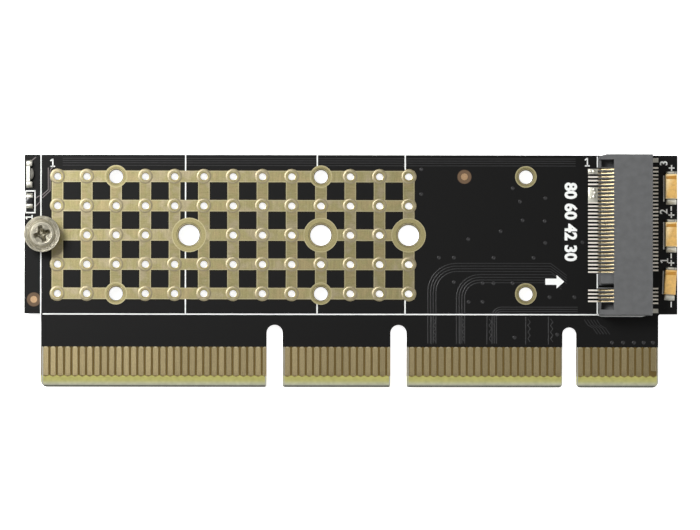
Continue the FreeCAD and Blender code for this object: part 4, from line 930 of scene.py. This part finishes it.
# Screen-printed marks: outlines, plus signs, an arrow and plain numbers
ink = {"thick": 0.02, "bite": 0.005, "line": 0.17, "figureShare": 0.73, "foot": -5.93, "top": 15.84,
       "columns": ((-42.36, ()), (-22.6, ((4.9, 2.0),)), (-4.61, ((-3.1, 1.3), (4.9, 2.0), (12.9, 1.3))),
                   (7.41, ((4.9, 2.0),))),
       "paths": (((-42.1, -5.93), (33.7, -5.93)),
                 ((33.7, -5.93), (34.2, -6.11), (39.7, -6.13), (40.8, -5.85)),
                 ((33.67, 15.7), (33.67, 14.21)), ((33.67, -0.34), (33.67, -2.33)),
                 ((33.67, -4.17), (33.67, -5.95)), ((-44.48, 10.88), (-43.08, 10.88)),
                 ((-43.18, 10.88), (-43.18, 7.91)), ((-43.08, 7.91), (-44.48, 7.91)),
                 ((-44.48, 7.91), (-44.48, 10.88)), ((42.75, 13.11), (42.75, 9.56)),
                 ((42.75, 6.75), (42.75, 3.02)), ((42.7, 0.1), (42.6, -3.1)),
                 ((43.76, 8.89), (43.76, 8.3)), ((43.76, 2.46), (43.76, 1.8)),
                 ((43.76, -4.12), (43.76, -4.89))),
       "plus": ((43.81, 14.15), (43.78, 7.72), (43.77, 1.17)), "plusArm": 0.4,
       "figures": (("80 60 42 30", 29.95, 6.76, 1.62, -90, 0.09), ("3", 42.78, 14.8, 1.05, 90, 0.03),
                   ("2", 42.78, 8.2, 1.05, 90, 0.03)),
       "oneStrokes": (((0, -0.5), (0, 0.5)), ((-0.3, 0.22), (0, 0.46)), ((-0.28, -0.46), (0.28, -0.46))),
       "ones": ((-40.75, 14.75, 1.1, 0), (32.3, 14.95, 1.15, 0), (42.78, 1.5, 1.05, 90),
                (-44.02, 7.3, 1.0, 90)),
       "arrow": {"tail": 26.57, "neck": 28.1, "tip": 29.14, "middle": -1.42, "half": 0.42, "wing": 0.92}}
# screen-printed, matte and slightly uneven
inkFinish = plainFinish("whiteScreenInk", "#eceeec", 0.6, 0.0, 0.15, 0.002, 0.03)


def inkLine(start, end):
    half = ink["line"] / 2
    length = math.hypot(end[0] - start[0], end[1] - start[1])
    line = addBox((-length / 2, -half, faceZ - ink["bite"]), (length / 2, half, faceZ + ink["thick"]))
    line.rotation_euler = (0, 0, math.atan2(end[1] - start[1], end[0] - start[0]))
    line.location = ((start[0] + end[0]) / 2 * mm, (start[1] + end[1]) / 2 * mm, 0)
    return applyPlace(line)


def inkFigures(text, x, y, height, turn=0, bold=0.0):
    deselectAll()
    bpy.ops.object.text_add(location=(x * mm, y * mm, faceZ * mm), rotation=(0, 0, math.radians(turn)))
    words = bpy.context.object
    words.data.body = text
    words.data.size = height / ink["figureShare"] * mm
    words.data.extrude = ink["thick"] * mm
    words.data.offset = bold * mm
    words.data.resolution_u = 3
    words.data.align_x = "CENTER"
    words.data.align_y = "CENTER"
    bpy.ops.object.convert(target="MESH")
    return applyPlace(bpy.context.object)


# A square-edged tail with a triangular head, drawn out of one box
def inkArrow(shape):
    arrow = addBox((shape["tail"], shape["middle"] - shape["half"], faceZ - ink["bite"]),
                   (shape["neck"], shape["middle"] + shape["half"], faceZ + ink["thick"]))
    middle = (shape["neck"] * mm, shape["middle"] * mm, faceZ * mm)
    choose(arrow, "FACE", allAt(shape["neck"], 0))
    extrudeBy(0.001, 0, 0)
    bpy.ops.transform.resize(value=(1, shape["wing"] / shape["half"], 1), center_override=middle)
    extrudeBy(shape["tip"] - shape["neck"], 0, 0)
    bpy.ops.transform.resize(value=(1, 0.02, 1), center_override=middle)
    bpy.ops.object.mode_set(mode="OBJECT")
    return arrow


marks = []
for x, openings in ink["columns"]:
    start = ink["foot"]
    for middle, clear in openings:
        marks.append(inkLine((x, start), (x, middle - clear)))
        start = middle + clear
    marks.append(inkLine((x, start), (x, ink["top"])))
for path in ink["paths"]:
    marks += [inkLine(start, end) for start, end in zip(path, path[1:])]
for x, y in ink["plus"]:
    marks.append(inkLine((x - ink["plusArm"], y), (x + ink["plusArm"], y)))
    marks.append(inkLine((x, y - ink["plusArm"]), (x, y + ink["plusArm"])))
marks += [inkFigures(*figure) for figure in ink["figures"]]
for x, y, high, turn in ink["ones"]:
    strokes = [inkLine((x0 * high, y0 * high), (x1 * high, y1 * high))
               for (x0, y0), (x1, y1) in ink["oneStrokes"]]
    one = joinAll(strokes)
    one.rotation_euler = (0, 0, math.radians(turn))
    one.location = (x * mm, y * mm, 0)
    marks.append(applyPlace(one))
marks.append(inkArrow(ink["arrow"]))
finishPiece(joinAll(marks), "printedMarks", "lamp_white", inkFinish)
